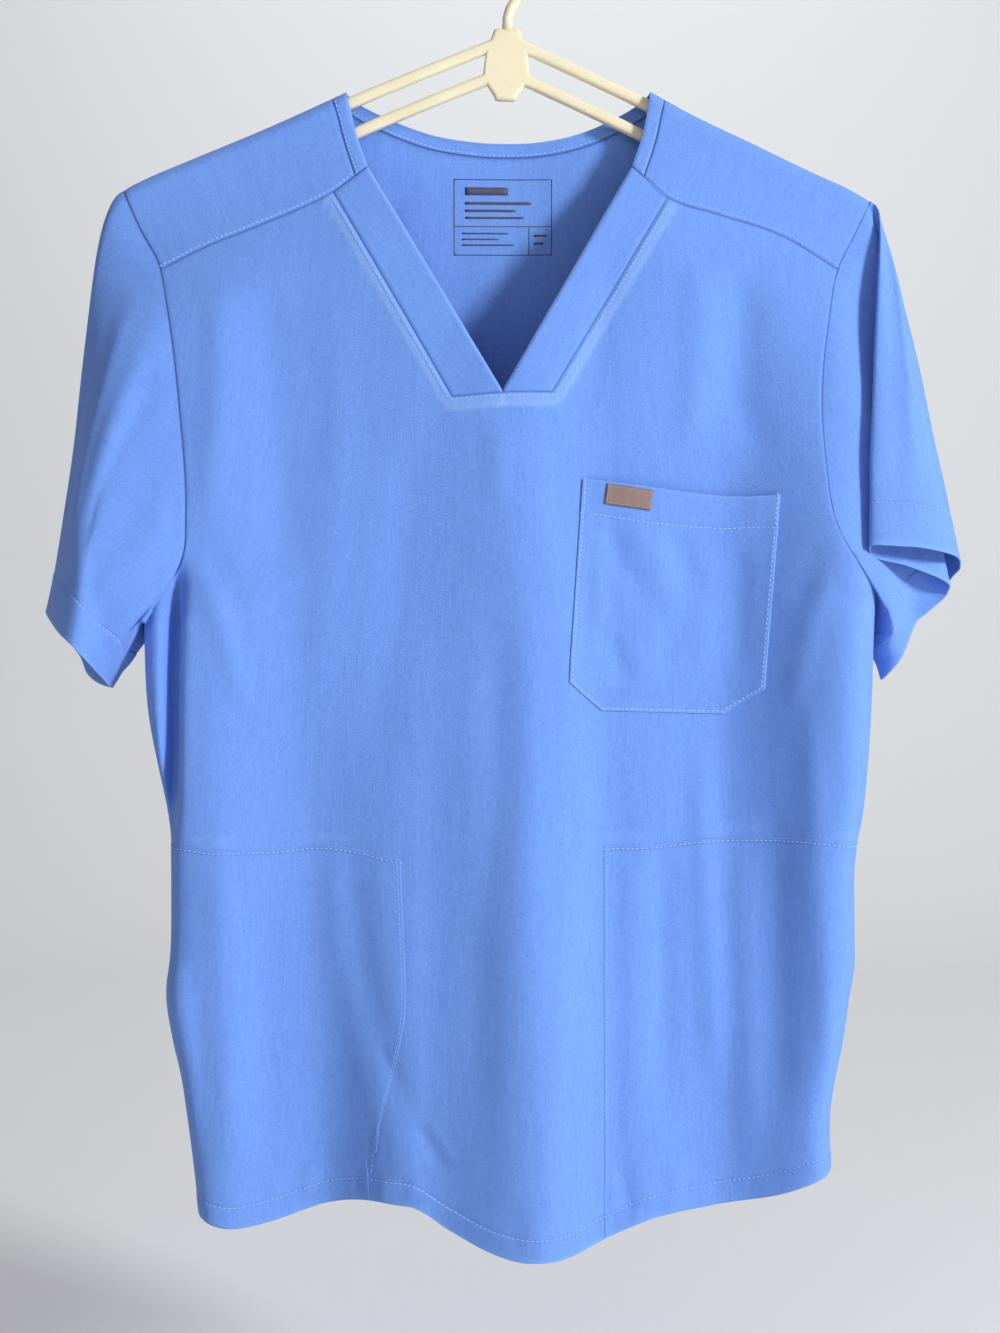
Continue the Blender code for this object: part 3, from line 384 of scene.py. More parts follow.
def creased(across, drop, creases):
    """Sum of the ridges and troughs of a table at points of the cloth."""
    height = np.zeros(np.broadcast(across, drop).shape)
    for crease in creases:
        path = along(np.array(crease.path, float), np.linspace(0, 1, 9))
        distance, place = near_line(across, drop, path)
        fade = smooth_step(place / CREASE_FADE) * smooth_step((1 - place) / CREASE_FADE)
        height += crease.height * bell(distance, crease.width) * fade
    return height


def ripple(across, drop):
    """A slow uneven wave, under a millimetre high, that keeps a plain area from looking stiff."""
    upright = np.sin(across / 17.0 + 0.9 * np.sin(drop / 71.0)) * np.sin(drop / 96.0 + 0.6)
    slanted = np.sin(across / 29.0 - drop / 143.0 + 1.7)
    narrow = np.sin(across / 9.3 + 1.4 * np.sin(drop / 47.0 + across / 90.0)) * np.sin(drop / 61.0 + across / 44.0)
    return RIPPLE_HEIGHT * (0.5 * upright + 0.35 * slanted + 0.3 * narrow)


print(len(FRONT_CREASES), "creases in front,", len(BACK_CREASES), "behind")

# %% [markdown]
# ## The surface that every panel lies on
# Front and back are two halves of one soft tube that hangs from the shoulder line. A point is found from how far
# across and how far down it is. Along every seam the cloth dips by half a millimetre, because the stitches pull it
# in, and both panels of a seam dip along the same line, so no gap opens between them.

# %% Seams that pull the cloth in
def beside_neck(neck, distance, places):
    """A line beside the neck edge; near a shoulder point it swings round to lie along the shoulder."""
    line = smooth_line(neck, places)
    aside = offset_line(line, distance) - line
    for tip, end in ((line[0], neck[0]), (line[-1], neck[-1])):
        if abs(end.drop - shoulder_drop(end.across)) < 1:
            across = end.across + math.copysign(abs(distance), end.across)
            over = (across - end.across, shoulder_drop(across) - end.drop)
            near = 1 - smooth_step(np.linalg.norm(line - tip, axis=1) / NECK_SWING)
            aside += (over - aside) * near[:, None]
    return line + aside


def binding_foot(side):
    """Where the binding's outer edge meets the forward shoulder seam, straight on from the V band's corner."""
    tip, corner = np.array(FRONT_NECK[side][-1]), np.array(YOKE[side][-1])
    way = corner - tip
    return Point(*(tip + way / np.linalg.norm(way) * BINDING_WIDTH * 1.12))


def binding_edge(side, distance, places):
    """A line of the front binding beside the neck edge, led to the straight end on the shoulder seam."""
    line = beside_neck(FRONT_NECK[side], -side * distance, places)
    end = beside_neck(FRONT_NECK[side], -side * distance, np.linspace(0, 1, 40))[-1]
    tip = np.array(FRONT_NECK[side][-1])
    led = tip + (np.array(binding_foot(side)) - tip) * distance / BINDING_WIDTH
    return line + (led - end) * smooth_step((np.asarray(places) - 0.55) / 0.45)[:, None]


def shoulder_seam(side, places, to_binding=True):
    """The forward shoulder seam, from the armhole to the V band's corner or on to the binding."""
    foot = binding_foot(side)
    lengths = lengths_along(line_of([*YOKE[side], foot]))
    reach = 1 if to_binding else lengths[-2] / lengths[-1]
    return smooth_line([*YOKE[side], foot], reach * np.asarray(places))


def armhole_line(side, count=120):
    drops = np.linspace(ARMHOLE[side][0].drop, ARMHOLE[side][-1].drop, count)
    return np.stack([arm_across(side, drops), drops], axis=1)


# A seam's sink and reach, the width of the shade painted along its ditch, and how far in its stitches lie.
SEAM_SINK, SEAM_REACH, DITCH_SHADE_WIDTH, SEW_IN = 0.55, 1.2, 0.6, 2.2
ALLOWANCE, ALLOWANCE_RISE, ALLOWANCE_STEP = 7.8, 0.4, 1.6
dense = np.linspace(0, 1, 40)
V_LINES = [
    join_lines(smooth_line([YOKE[side][-1], V_SEAM[side]], dense), smooth_line([V_SEAM[side], V_SEAM_CENTRE], dense))
    for side in (-1, 1)]
FRONT_SEAMS = [
    *V_LINES, *(shoulder_seam(side, dense) for side in (-1, 1)), *(armhole_line(side) for side in (-1, 1)),
    *(binding_edge(side, BINDING_WIDTH, dense) for side in (-1, 1)),
    *(line_of([binding_foot(side), FRONT_NECK[side][-1]]) for side in (-1, 1)),
    line_of([V_TIP, V_SEAM_CENTRE]),
]
BACK_SEAMS = [beside_neck(BACK_NECK, BINDING_WIDTH, np.linspace(0, 1, 90)), *(armhole_line(side) for side in (-1, 1))]


def to_seam(across, drop, seams):
    """Distance to the nearest of several seams."""
    nearest = np.full(np.shape(across), 1e9)
    for seam in seams:
        nearest = np.minimum(nearest, near_line(across, drop, seam)[0])
    return nearest


def seam_dip(across, drop, seams):
    """How far the stitches of the nearest seams pull the cloth in."""
    return SEAM_SINK * bell(to_seam(across, drop, seams), SEAM_REACH)


def painted_ditch_shade(distance):
    """How strongly the painted shade in a seam's ditch shows at a distance from it, from 0 to 1."""
    return bell(distance, DITCH_SHADE_WIDTH)


def pressed(across, drop):
    """1 over the seam allowance that is pressed open beside the V, on the front panel's side; 0 elsewhere."""
    amount = np.zeros(np.shape(across))
    for line in V_LINES:
        distance = near_line(across, drop, line)[0]
        amount = np.maximum(amount, 1 - smooth_step((distance - ALLOWANCE) / ALLOWANCE_STEP + 0.5))
    return amount


print(len(FRONT_SEAMS) + len(BACK_SEAMS), "seam lines")

# %% Points of the body's surface
SETTLE_FALL, TURN_CHANGE_FROM, TURN_CHANGE_OVER = 40.0, 300.0, 120.0
DIP_FULL_AT, SIDE_FOLD_FULL_AT, SIDE_FOLD_MOST = 4.0, 12.0, 0.85


def relief(across, drop, flutes):
    """Height of the soft folds, blended across from one crest or trough to the next."""
    down = np.clip((drop - FLUTE_LEVELS[0]) / (FLUTE_LEVELS[-1] - FLUTE_LEVELS[0]), 0, 1)
    start = np.clip((drop - FLUTE_START) / (FLUTE_FULL - FLUTE_START), 0, 1)
    lines = [f.top + (f.hem - f.top) * down for f in flutes]
    rises = [smooth_rows(FLUTE_LEVELS, f.rises)(drop) * start for f in flutes]
    height = np.zeros(np.broadcast(across, drop).shape)
    for i in range(len(flutes) - 1):
        t = np.clip((across - lines[i]) / (lines[i + 1] - lines[i]), 0, 1)
        between = rises[i] + (rises[i + 1] - rises[i]) * (0.5 - 0.5 * np.cos(np.pi * t))
        height = np.where((across >= lines[i]) & (across <= lines[i + 1]), between, height)
    return height


def cloth_depth(across, drop, stand, turn, flutes, creases, seams):
    """How far a panel stands from the hanging plane: round over the shoulder, then out to its stand."""
    fullness = 1 - np.abs(share_at(across, drop)) ** turn
    fall = np.maximum(drop - shoulder_drop(across), 0)
    settle = smooth_step(fall / SETTLE_FALL)
    small = (creased(across, drop, creases) + ripple(across, drop)) * settle
    plateau = (stand(drop) + relief(across, drop, flutes) + small) * fullness
    cap = CAP_RADIUS * np.sqrt(np.clip(1 - (1 - np.minimum(fall, CAP_RADIUS) / CAP_RADIUS) ** 2, 0, 1))
    depth = cap + (plateau - CAP_RADIUS) * smooth_step((fall - CAP_RADIUS / 2) / OPENING_OUT)
    return depth - seam_dip(across, drop, seams) * smooth_step(depth / DIP_FULL_AT)


def front_depth(across, drop):
    turn = TURN + (FRONT_TURN - TURN) * smooth_step((np.asarray(drop) - TURN_CHANGE_FROM) / TURN_CHANGE_OVER)
    depth = cloth_depth(across, drop, front_stand, turn, FRONT_FLUTES, FRONT_CREASES, FRONT_SEAMS)
    folds = creased(across, drop, SIDE_FOLDS) * smooth_step(depth / SIDE_FOLD_FULL_AT)
    return depth + np.maximum(folds, -SIDE_FOLD_MOST * depth)


def back_depth(across, drop):
    return cloth_depth(across, drop, back_stand, TURN, BACK_FLUTES, BACK_CREASES, BACK_SEAMS)


def surface(across, drop, facing):
    """Points of the body's surface; facing is -1 in front and 1 behind."""
    depth = front_depth(across, drop) if facing < 0 else back_depth(across, drop)
    return np.stack([across, facing * depth, -drop], axis=-1)


def raised(across, drop, lift, facing=-1):
    """Points of the front or back moved straight out of the cloth by lift."""
    at = surface(across, drop, facing)
    step = 0.6
    sideways = surface(across + step, drop, facing) - surface(across - step, drop, facing)
    downways = surface(across, drop + step, facing) - surface(across, drop - step, facing)
    outwards = facing * np.cross(sideways, downways)
    outwards /= np.linalg.norm(outwards, axis=-1)[..., None]
    return at + outwards * (np.asarray(lift) + 0 * across)[..., None]


probe = surface(np.array([0.0, 100.0]), np.array([500.0, 600.0]), -1)
print("front at the middle of the chest stands", round(-probe[0, 1], 1), "mm out")

# %% [markdown]
# ## From a grid of points to a sewn piece
# Each piece is a grid: rows run down the cloth and columns run across it. The grid becomes the outer face, a Solidify
# modifier gives it the cloth's thickness inwards, and lengths measured along the rows and columns become its UV map,
# so that the weave runs true to the thread however the cloth bends. Real cloth is about 0.35 mm thick; 0.9 mm reads
# as a turned edge of two layers, which is what most of the visible edges are. The folded bands are thicker.

# %% Helpers that make a piece
def grid_lengths(points, closed):
    """UV of a grid in metres: lengths along each row from its middle, and the mean length down the columns."""
    across_steps = np.linalg.norm(np.diff(points, axis=1), axis=2)
    u = np.concatenate([np.zeros((len(points), 1)), np.cumsum(across_steps, axis=1)], axis=1)
    if not closed:
        u -= u[:, [u.shape[1] // 2]]
    v = np.concatenate([[0], np.cumsum(np.linalg.norm(np.diff(points, axis=0), axis=2).mean(axis=1))])
    return u * MM, -np.repeat(v[:, None], points.shape[1], axis=1) * MM


def cloth_mesh(name, grids, closed=False, marks=None):
    """A mesh of grids of points, welded where they share an edge, with a UV map in metres.
    marks gives, for each grid, a mark at each point: above 0 a paler pressed or rubbed edge, with a painted shine in
    places, and below 0 painted shade in seams' ditches and along rows of stitches."""
    vertices, faces, uvs, wear_and_painted_light = [], [], [], []
    for number, grid in enumerate(grids):
        rows, columns = grid.shape[:2]
        first = len(vertices)
        vertices.extend(map(tuple, (grid * MM).reshape(-1, 3)))
        u, v = grid_lengths(grid, closed)
        mark = np.zeros((rows, columns)) if marks is None else marks[number]
        wear_and_painted_light.extend(mark.ravel())
        turn = np.append(u[:, -1] + np.linalg.norm(grid[:, -1] - grid[:, 0], axis=1) * MM, 0)
        for i in range(rows - 1):
            for j in range(columns if closed else columns - 1):
                k = (j + 1) % columns
                a, b = first + i * columns, first + (i + 1) * columns
                faces.append((a + j, a + k, b + k, b + j))
                far, far_below = (turn[i], turn[i + 1]) if k == 0 else (u[i, k], u[i + 1, k])
                uvs.extend([u[i, j], v[i, j], far, v[i, k], far_below, v[i + 1, k], u[i + 1, j], v[i + 1, j]])
    data = bpy.data.meshes.new(name)
    data.from_pydata(vertices, [], faces)
    data.uv_layers.new(name="cloth").data.foreach_set("uv", np.array(uvs, np.float32))
    # The mark becomes a point attribute: wear and a painted shine above 0, painted shade below 0.
    data.attributes.new("wear_and_painted_light", "FLOAT", "POINT").data.foreach_set("value", np.array(wear_and_painted_light, np.float32))
    if len(grids) > 1:
        form = bmesh.new()
        form.from_mesh(data)
        bmesh.ops.remove_doubles(form, verts=form.verts, dist=0.00004)
        form.to_mesh(data)
        form.free()
    data.shade_smooth()
    return data


def sewn_piece(name, grids, node, closed=False, wall=0.9, marks=None):
    """A piece of cloth that stands for a solid of the frame; its wall is in millimetres."""
    made = put_in_scene(name, cloth_mesh(name, grids, closed, marks))
    thick = made.modifiers.new("wall", "SOLIDIFY")
    thick.thickness, thick.offset = wall * MM, -1.0
    PIECES[name] = (made, node)
    size = sum((grid.shape[0] - 1) * (grid.shape[1] - 1) for grid in grids)
    print(f"{name}: {size} faces on its outer side, {cloth_area(made):.4f} m2 of cloth")


def sewn_side(stem, side, points, mark, plain_side, **options):
    """One of a right and left pair. Its columns are turned round on the side where it would face inwards."""
    name = f"{stem}_{SIDE_NAMES[side]}"
    columns = slice(None) if side == plain_side else slice(None, None, -1)
    sewn_piece(name + "_cloth", [points[:, columns]], name, marks=[mark[:, columns]], **options)


def cloth_area(piece):
    return sum(face.area for face in piece.data.polygons)


PIECES, SIDE_NAMES = {}, {-1: "right", 1: "left"}

# %% [markdown]
# ## Front
# The front is one panel. Its top edge follows the forward shoulder seam, the V, the V's foot and the other shoulder
# seam. The grid is stretched between that edge, the two armholes and side seams, and the hem. The last rows are set
# a fixed distance above the hem, so that the turned hem and its row of stitches have rows of their own.

# %% Rows and columns of a body panel
SEAM_ROWS = (0, 0.6, 1.3, 2.2, 3.4, 5, 7.5, 10.5)
HEM_ROWS = (30, 26, 22, 18, 15.5, 14.2, 13.5, 13, 12.5, 11.8, 10.5, 8, 5.5, 3, 1.4, 0.5, 0)
HEM_STITCH, HEM_SINK, HEM_RISE = 13.0, 0.35, 0.35
COLUMN_SHIFT, LIFT_FULL_AT = 0.12, 6.0


def row_places(lengths, middle_rows):
    """For each column, the shares of its length at which its rows lie."""
    start, end = SEAM_ROWS[-1], HEM_ROWS[0]
    middle = np.linspace(0, 1, middle_rows + 2)[1:-1]
    rows = [np.full(len(lengths), d) for d in SEAM_ROWS]
    rows += [start + (lengths - end - start) * m for m in middle]
    rows += [lengths - d for d in HEM_ROWS]
    return np.array(rows) / lengths


def edge_places(count, fine=0.35):
    """Places from 0 to 1 that crowd towards both ends."""
    t = np.linspace(0, 1, count + 1)
    return t - (1 - fine) * np.sin(2 * np.pi * t) / (2 * np.pi)


def start_places(count, fine=0.35):
    """Places from 0 to 1 that crowd towards 0."""
    t = np.linspace(0, 1, count + 1)
    return t - (1 - fine) * np.sin(np.pi * t) / np.pi


def turned_hem(above, stitch, sink):
    """Height of a turned hem: one more layer of cloth up to its row of stitches, which pull it in."""
    return HEM_RISE * (1 - smooth_step((above - stitch + 0.6) / 1.2)) - sink * bell(above - stitch, 0.7)


def hem_pucker(across, above):
    """Small uneven waves where the turned hem takes up the curve of the cut, strongest beside two of the folds."""
    wave = np.sin(across / 1.75 + 1.3 * np.sin(across / 13.0)) + 0.6 * np.sin(across / 3.1 + 0.7)
    strength = 0.35 + 0.65 * bell(across - 66, 55) + 0.3 * bell(across + 70, 24)
    return 0.26 * wave * strength * bell(above - 7, 7.5)


def body_panel(line, facing, middle_rows):
    """A front or back panel below its top line, down to the hem."""
    hem, ends = (hem_drop, HEM) if facing < 0 else (back_hem_drop, BACK_HEM)
    top = np.stack([share_at(line[:, 0], line[:, 1]), line[:, 1]], axis=1)
    even = np.linspace(-1, 1, len(top))
    shares = even + COLUMN_SHIFT * np.sin(np.pi * even)
    bottom = np.stack([shares, hem(across_at(shares, HEM_LEVEL))], axis=1)
    bottom[0, 1], bottom[-1, 1] = ends[0].drop, ends[-1].drop
    lengths = bottom[:, 1] - top[:, 1]
    places = row_places(lengths, middle_rows)
    grid = top + (bottom - top) * places[..., None]
    for side, column in ((-1, 0), (1, -1)):
        drops = grid[:, column, 1]
        edge = np.where(drops < ARMHOLE[side][-1].drop, arm_share[side](drops), side)
        edge[0] = top[column, 0]
        pull = edge - grid[:, column, 0]
        grid[..., 0] += ((1 + side * even) / 2) ** 2 * pull[:, None]
    drop = grid[..., 1]
    across = across_at(grid[..., 0], drop)
    above = (1 - places) * lengths
    lift = turned_hem(above, HEM_STITCH, HEM_SINK) + hem_pucker(across, above)
    points = surface(across, drop, facing)
    points[..., 1] += facing * lift * smooth_step(np.abs(points[..., 1]) / LIFT_FULL_AT)
    return points, across, drop, above


# %% Build the front
SHOULDER_SEAM_COLUMNS, V_COLUMNS, V_FOOT_COLUMNS, FRONT_ROWS = 44, 36, 30, 150
ALLOWANCE_FOOT, TIP_HALF_WIDTH, TIP_SLOPE = 308.5, 5.6, 0.42
# Where a painted shine lies above each lower pocket's mouth, how wide it is, and the wave that breaks it into patches.
MOUTH_SHINE_AT, MOUTH_SHINE_WIDTH, MOUTH_SHINE_WAVE = 5.5, 1.6, 11.0


def front_top_line():
    """The front's top edge: forward shoulder seam, V, foot of the V, V and forward shoulder seam."""
    seam_places, v_places = start_places(SHOULDER_SEAM_COLUMNS), np.linspace(0, 1, V_COLUMNS + 1)
    return join_lines(
        shoulder_seam(-1, seam_places, to_binding=False),
        smooth_line([YOKE[-1][-1], V_SEAM[-1]], v_places),
        smooth_line([V_SEAM[-1], V_SEAM_CENTRE, V_SEAM[1]], np.linspace(0, 1, V_FOOT_COLUMNS + 1)),
        smooth_line([V_SEAM[1], YOKE[1][-1]], v_places),
        shoulder_seam(1, seam_places, to_binding=False)[::-1])


def front_marks(across, drop, above, allowance):
    """Where the front is rubbed pale and where a shine is painted above the lower pockets' mouths, above 0, and where
    shade is painted in its seams' ditches and along its hem stitches, below 0.
    """
    over_foot = ALLOWANCE_FOOT - drop
    folded_tip = smooth_step((TIP_HALF_WIDTH - np.abs(across - V_TIP.across) - TIP_SLOPE * over_foot) / 1.5)
    folded_tip *= smooth_step(over_foot / 1.2)
    rubbed_edge = bell(to_seam(across, drop, V_LINES) - ALLOWANCE, 1.1)
    wear_and_painted_light = 0.75 * allowance + 0.7 * folded_tip * allowance + 0.5 * rubbed_edge
    wear_and_painted_light = np.maximum(wear_and_painted_light, 0.5 * bell(above, 2.0))
    # A painted shine, in patches, just above each lower pocket's mouth.
    for side, mouth in LOWER_MOUTH.items():
        beside = near_line(across, drop, line_of(mouth))[0]
        over = drop < smooth_points(mouth)(across)
        patches = smooth_step(np.sin(across / MOUTH_SHINE_WAVE + side) * 2)
        wear_and_painted_light += 0.45 * over * bell(beside - MOUTH_SHINE_AT, MOUTH_SHINE_WIDTH) * patches
    # Painted shade in the seams' ditches and along the hem's row of stitches.
    return wear_and_painted_light - painted_ditch_shade(to_seam(across, drop, FRONT_SEAMS)) - 0.25 * bell(above - HEM_STITCH, 0.8)


points, across, drop, above = body_panel(front_top_line(), -1, FRONT_ROWS)
allowance = pressed(across, drop)
points[..., 1] -= ALLOWANCE_RISE * allowance * smooth_step(to_seam(across, drop, FRONT_SEAMS) / 1.5)
mark = front_marks(across, drop, above, allowance)
sewn_piece("front_panel", [points[:, ::-1]], "front", marks=[mark[:, ::-1]])

# %% [markdown]
# ## Back
# The back is cut in one with the two forward shoulders, which come over the hanger and down to the shoulder seam in
# front. Three grids are made, one behind and one over each shoulder, and their shared edge on the shoulder line is
# welded, so the cloth rolls over the hanger without a seam.

# %% Build the back
SHOULDER_COLUMNS, NECK_COLUMNS, BACK_ROWS = 40, 64, 120


def forward_shoulder(side):
    """One forward shoulder: its top edge, its points down to the shoulder seam in front, and its marks."""
    armhole = ARMHOLE[side]
    downs = np.concatenate([[0, 0.012, 0.03, 0.06], np.linspace(0.1, 0.93, 22), [0.955, 0.975, 0.99, 1]])
    places = edge_places(SHOULDER_COLUMNS)
    drops = armhole[0].drop + (armhole[2].drop - armhole[0].drop) * downs
    tip_side = np.stack([arm_across(side, drops), drops], axis=1)
    neck_side = binding_edge(side, BINDING_WIDTH, downs)
    seam = shoulder_seam(side, places)
    across = tip_side[0, 0] + (neck_side[0, 0] - tip_side[0, 0]) * places
    top = np.stack([across, shoulder_drop(across)], axis=1)
    tip_side[0], tip_side[-1], neck_side[0], neck_side[-1] = top[0], seam[0], top[-1], seam[-1]
    rows, t = [], places[:, None]
    for down, edge_a, edge_b in zip(downs, tip_side, neck_side):
        straight = top + (seam - top) * down
        rows.append(straight + (1 - t) ** 2 * (edge_a - straight[0]) + t ** 2 * (edge_b - straight[-1]))
    grid = np.array(rows)
    shape = surface(grid[..., 0], grid[..., 1], -1)
    shape[0, :, 1] = 0
    # Painted shade in the ditches of the front seams.
    mark = -painted_ditch_shade(to_seam(grid[..., 0], grid[..., 1], FRONT_SEAMS))
    return top, *((shape, mark) if side > 0 else (shape[:, ::-1], mark[:, ::-1]))


top_right, shoulder_right, mark_right = forward_shoulder(-1)
top_left, shoulder_left, mark_left = forward_shoulder(1)
neck = beside_neck(BACK_NECK, BINDING_WIDTH, edge_places(NECK_COLUMNS, 0.3))
neck[0], neck[-1] = top_right[-1], top_left[-1]
back_line = join_lines(top_right, neck, top_left[::-1])
points, across, drop, above = body_panel(back_line, 1, BACK_ROWS)
points[0, :, 0] = back_line[:, 0]
points[0, np.abs(back_line[:, 1] - shoulder_drop(back_line[:, 0])) < 0.05, 1] = 0
# Pale wear at the hem's fold; painted shade in the seams' ditches.
mark = 0.5 * bell(above, 2.0) - painted_ditch_shade(to_seam(across, drop, BACK_SEAMS))
sewn_piece("back_panel", [points, shoulder_right, shoulder_left], "back", marks=[mark, mark_right, mark_left])

# %% [markdown]
# ## V bands and neck binding
# The V is edged by two wide bands that meet in a point, and a narrow binding runs over both shoulders and round the
# back of the neck. Both are folded double, so they are a little thicker than the panels and their free edge is round.

# %% Build the V bands
V_BAND_WALL, BINDING_WALL = 1.5, 1.25


def build_v_band(side):
    """One band of the V, from the forward shoulder seam down to the tip and the foot seam."""
    stations = np.concatenate([[0, 0.06, 0.15], np.linspace(0.3, 12, 118)])
    outer_line = join_lines(smooth_line([YOKE[side][-1], V_SEAM[side]], np.linspace(0, 1, 10)),
                            smooth_line([V_SEAM[side], V_SEAM_CENTRE], np.linspace(0, 1, 4)))
    inner_line = smooth_line([FRONT_NECK[side][-1], V_TIP], np.concatenate([np.linspace(0, 0.86, 10), (0.91, 0.96, 1)]))
    outer, inner = (np.stack([np.interp(stations, np.arange(len(line)), column) for column in line.T], axis=1)
                    for line in (outer_line, inner_line))
    places = edge_places(20, 0.25)
    grid = outer[:, None] + (inner - outer)[:, None] * places[:, None]
    grid[0] = along(np.array([outer[0], binding_foot(side), inner[0]]), places)
    shape = surface(grid[..., 0], grid[..., 1], -1)
    free = np.linalg.norm(grid - inner[:, None], axis=2)
    to_edge = to_seam(grid[..., 0], grid[..., 1], FRONT_SEAMS)
    shape[..., 1] += 0.9 * bell(free, 1.0) - 0.3 * smooth_step(free / 2) * smooth_step(to_edge / 1.2)
    # The band's rubbed free edge is pale; painted shade lies in the ditch of its sewn edge.
    sewn_side("v_band", side, shape, 0.6 * bell(free, 1.2) - painted_ditch_shade(to_edge), 1, wall=V_BAND_WALL)


for side in (-1, 1):
    build_v_band(side)

# %% Build the neck binding
def neck_stretch(line, outer, places, facing):
    """A stretch of the binding: rows along the neck, from the panel's edge to the neck edge, and its marks."""
    inner = smooth_line(line, places)
    t = edge_places(10, 0.3)
    grid = outer[:, None] + (inner - outer)[:, None] * t[:, None]
    shape = surface(grid[..., 0], grid[..., 1], facing)
    free, sewn = (np.linalg.norm(grid - edge[:, None], axis=2) for edge in (inner, outer))
    below_ridge = smooth_step((grid[..., 1] - shoulder_drop(grid[..., 0])) / LIFT_FULL_AT)
    shape[..., 1] += facing * below_ridge * (0.3 * smooth_step(sewn / 1.5) - 0.8 * bell(free, 1.0))
    for end in (0, -1):
        if abs(line[end].drop - shoulder_drop(line[end].across)) < 1:
            shape[end, :, 1] = 0
    end_seam = near_line(grid[..., 0], grid[..., 1], np.stack([outer[-1], inner[-1]]))[0]
    # Painted shade in the ditches of the binding's seams, weaker behind.
    dark = painted_ditch_shade(np.minimum(sewn, end_seam)) if facing < 0 else 0.4 * painted_ditch_shade(sewn)
    return shape, 0.5 * bell(free, 1.2) - dark


downs = np.concatenate([[0, 0.012, 0.03, 0.05, 0.08], np.linspace(0.12, 0.95, 24), [0.97, 0.985, 1]])
right, left = (neck_stretch(FRONT_NECK[side], binding_edge(side, BINDING_WIDTH, downs), downs, -1) for side in (-1, 1))
round_neck = edge_places(110, 0.2)
behind = neck_stretch(BACK_NECK, beside_neck(BACK_NECK, BINDING_WIDTH, round_neck), round_neck, 1)
shape, mark = (np.concatenate([right[k][::-1], behind[k][1:], left[k][1:]]) for k in (0, 1))
sewn_piece("neck_binding_cloth", [shape], "neck_binding", wall=BINDING_WALL, marks=[mark])

# %% [markdown]
# ## Pockets
# A patch pocket is turned in at its edges and sewn flat, and the cloth inside those edges stands a little away from
# the front. The chest pocket has clipped lower corners and a broad turned mouth that gapes; the two lower pockets
# reach from the side seam to an inner edge and run down into the hem. Their inner edges are pressed so flat that
# little more than a faint row of stitches shows.

# %% Build the chest pocket
POCKET_HEM = [(46.9, 372.2), (72.3, 375.7), (91.4, 378.7), (115.7, 380.9), (138.3, 382), (155.8, 381.3), (170.6, 381.5)]
POCKET_CREASES = [
    Crease([(62, 374), (72, 400), (92, 436)], 8, -1.5), Crease([(84, 378), (96, 408), (110, 440)], 8, 1.1),
    Crease([(102, 382), (112, 400), (124, 424)], 7, -1.1), Crease([(122, 388), (124, 440), (126, 480)], 9, 0.8),
    Crease([(150, 390), (147, 440), (152, 480)], 8, -0.9), Crease([(62, 448), (80, 484)], 7, -1.2),
    Crease([(52, 400), (60, 450)], 8, 0.8), Crease([(104, 430), (100, 488)], 9, -0.7),
]
CHEST_LIFT, CHEST_PUFF, DIP_FROM, DIP_OVER = 1.4, 1.0, 356.0, 40.0


def pocket_edge():
    """The chest pocket's sewn outline, from the mouth's right corner round the foot to its left corner."""
    right = [(row.right_across, row.right_drop) for row in CHEST_POCKET]
    left = [(row.left_across, row.left_drop) for row in CHEST_POCKET]
    return np.array(right + left[::-1], float)


def chest_pocket_lift(across, drop):
    """How far the chest pocket's outer face stands off the front; its mouth gapes a little."""
    mouth = CHEST_POCKET[0]
    edge = near_line(across, drop, pocket_edge())[0]
    place = np.clip((across - mouth.right_across) / (mouth.left_across - mouth.right_across), 0, 1)
    gape = 4 * place * (1 - place) * np.clip(1 - (drop - mouth.right_drop) / MOUTH_REACH, 0, 1)
    inside = smooth_step((edge - 1.8) / 14)
    stitch = near_line(across, drop, np.array(POCKET_HEM))[0]
    hem = HEM_RISE * (1 - smooth_step(drop - np.interp(across, *np.array(POCKET_HEM).T) + 0.5))
    sewn_edge = CHEST_LIFT - 0.55 * bell(edge, 0.9) - 0.25 * bell(edge - 1.7, 0.7)
    creases = creased(across, drop, POCKET_CREASES)
    return sewn_edge + (CHEST_PUFF + creases) * inside + MOUTH_BULGE * gape + hem - 0.3 * bell(stitch, 0.8)


table = np.array(CHEST_POCKET)
last = len(table) - 1
rows_at = np.unique(np.concatenate([np.linspace(0, last, 92), [0.02, 0.05, last - 0.15, last - 0.05]]))
columns_at = edge_places(88, 0.3)
starts, ends = (np.stack([np.interp(rows_at, np.arange(last + 1), column) for column in part.T], axis=1)[..., None]
                for part in (table[:, :2], table[:, 2:]))
across, drop = np.moveaxis(starts + (ends - starts) * columns_at, 1, 0)
dip = MOUTH_DIP * 6.75 * columns_at ** 2 * (1 - columns_at)
drop = drop + dip * np.clip(1 - (drop - DIP_FROM) / DIP_OVER, 0, 1)
points = raised(across, drop, chest_pocket_lift(across, drop))
mark = np.maximum(0.8 * bell(near_line(across, drop, pocket_edge())[0], 1.2), 0.5 * bell(drop - drop[[0]], 1.2))
sewn_piece("chest_pocket_cloth", [points[:, ::-1]], "chest_pocket", marks=[mark[:, ::-1]])

# %% Build the lower pockets
POCKET_SIDE_SHARE, POCKET_LIFT, POCKET_WALL = 0.99, 0.42, 0.35
POCKET_HEM_ROWS = (26, 20, 16, 14.2, 13.5, 13, 12.5, 11.8, 9, 5, 2.5, 1.4, 0.9)


def lower_pocket_lines(side, count):
    """Mouth seam and inner edge of a lower pocket, as (across, drop)."""
    inner = LOWER_INNER[side]
    drops = np.linspace(inner[0].drop, inner[-1].drop, count)
    inner_line = np.stack([smooth_drops(inner)(drops), drops], axis=1)
    side_across = float(across_at(side * POCKET_SIDE_SHARE, inner[0].drop))
    across = np.linspace(inner[0].across, side_across, count)
    return np.stack([across, smooth_points(LOWER_MOUTH[side])(across)], axis=1), inner_line


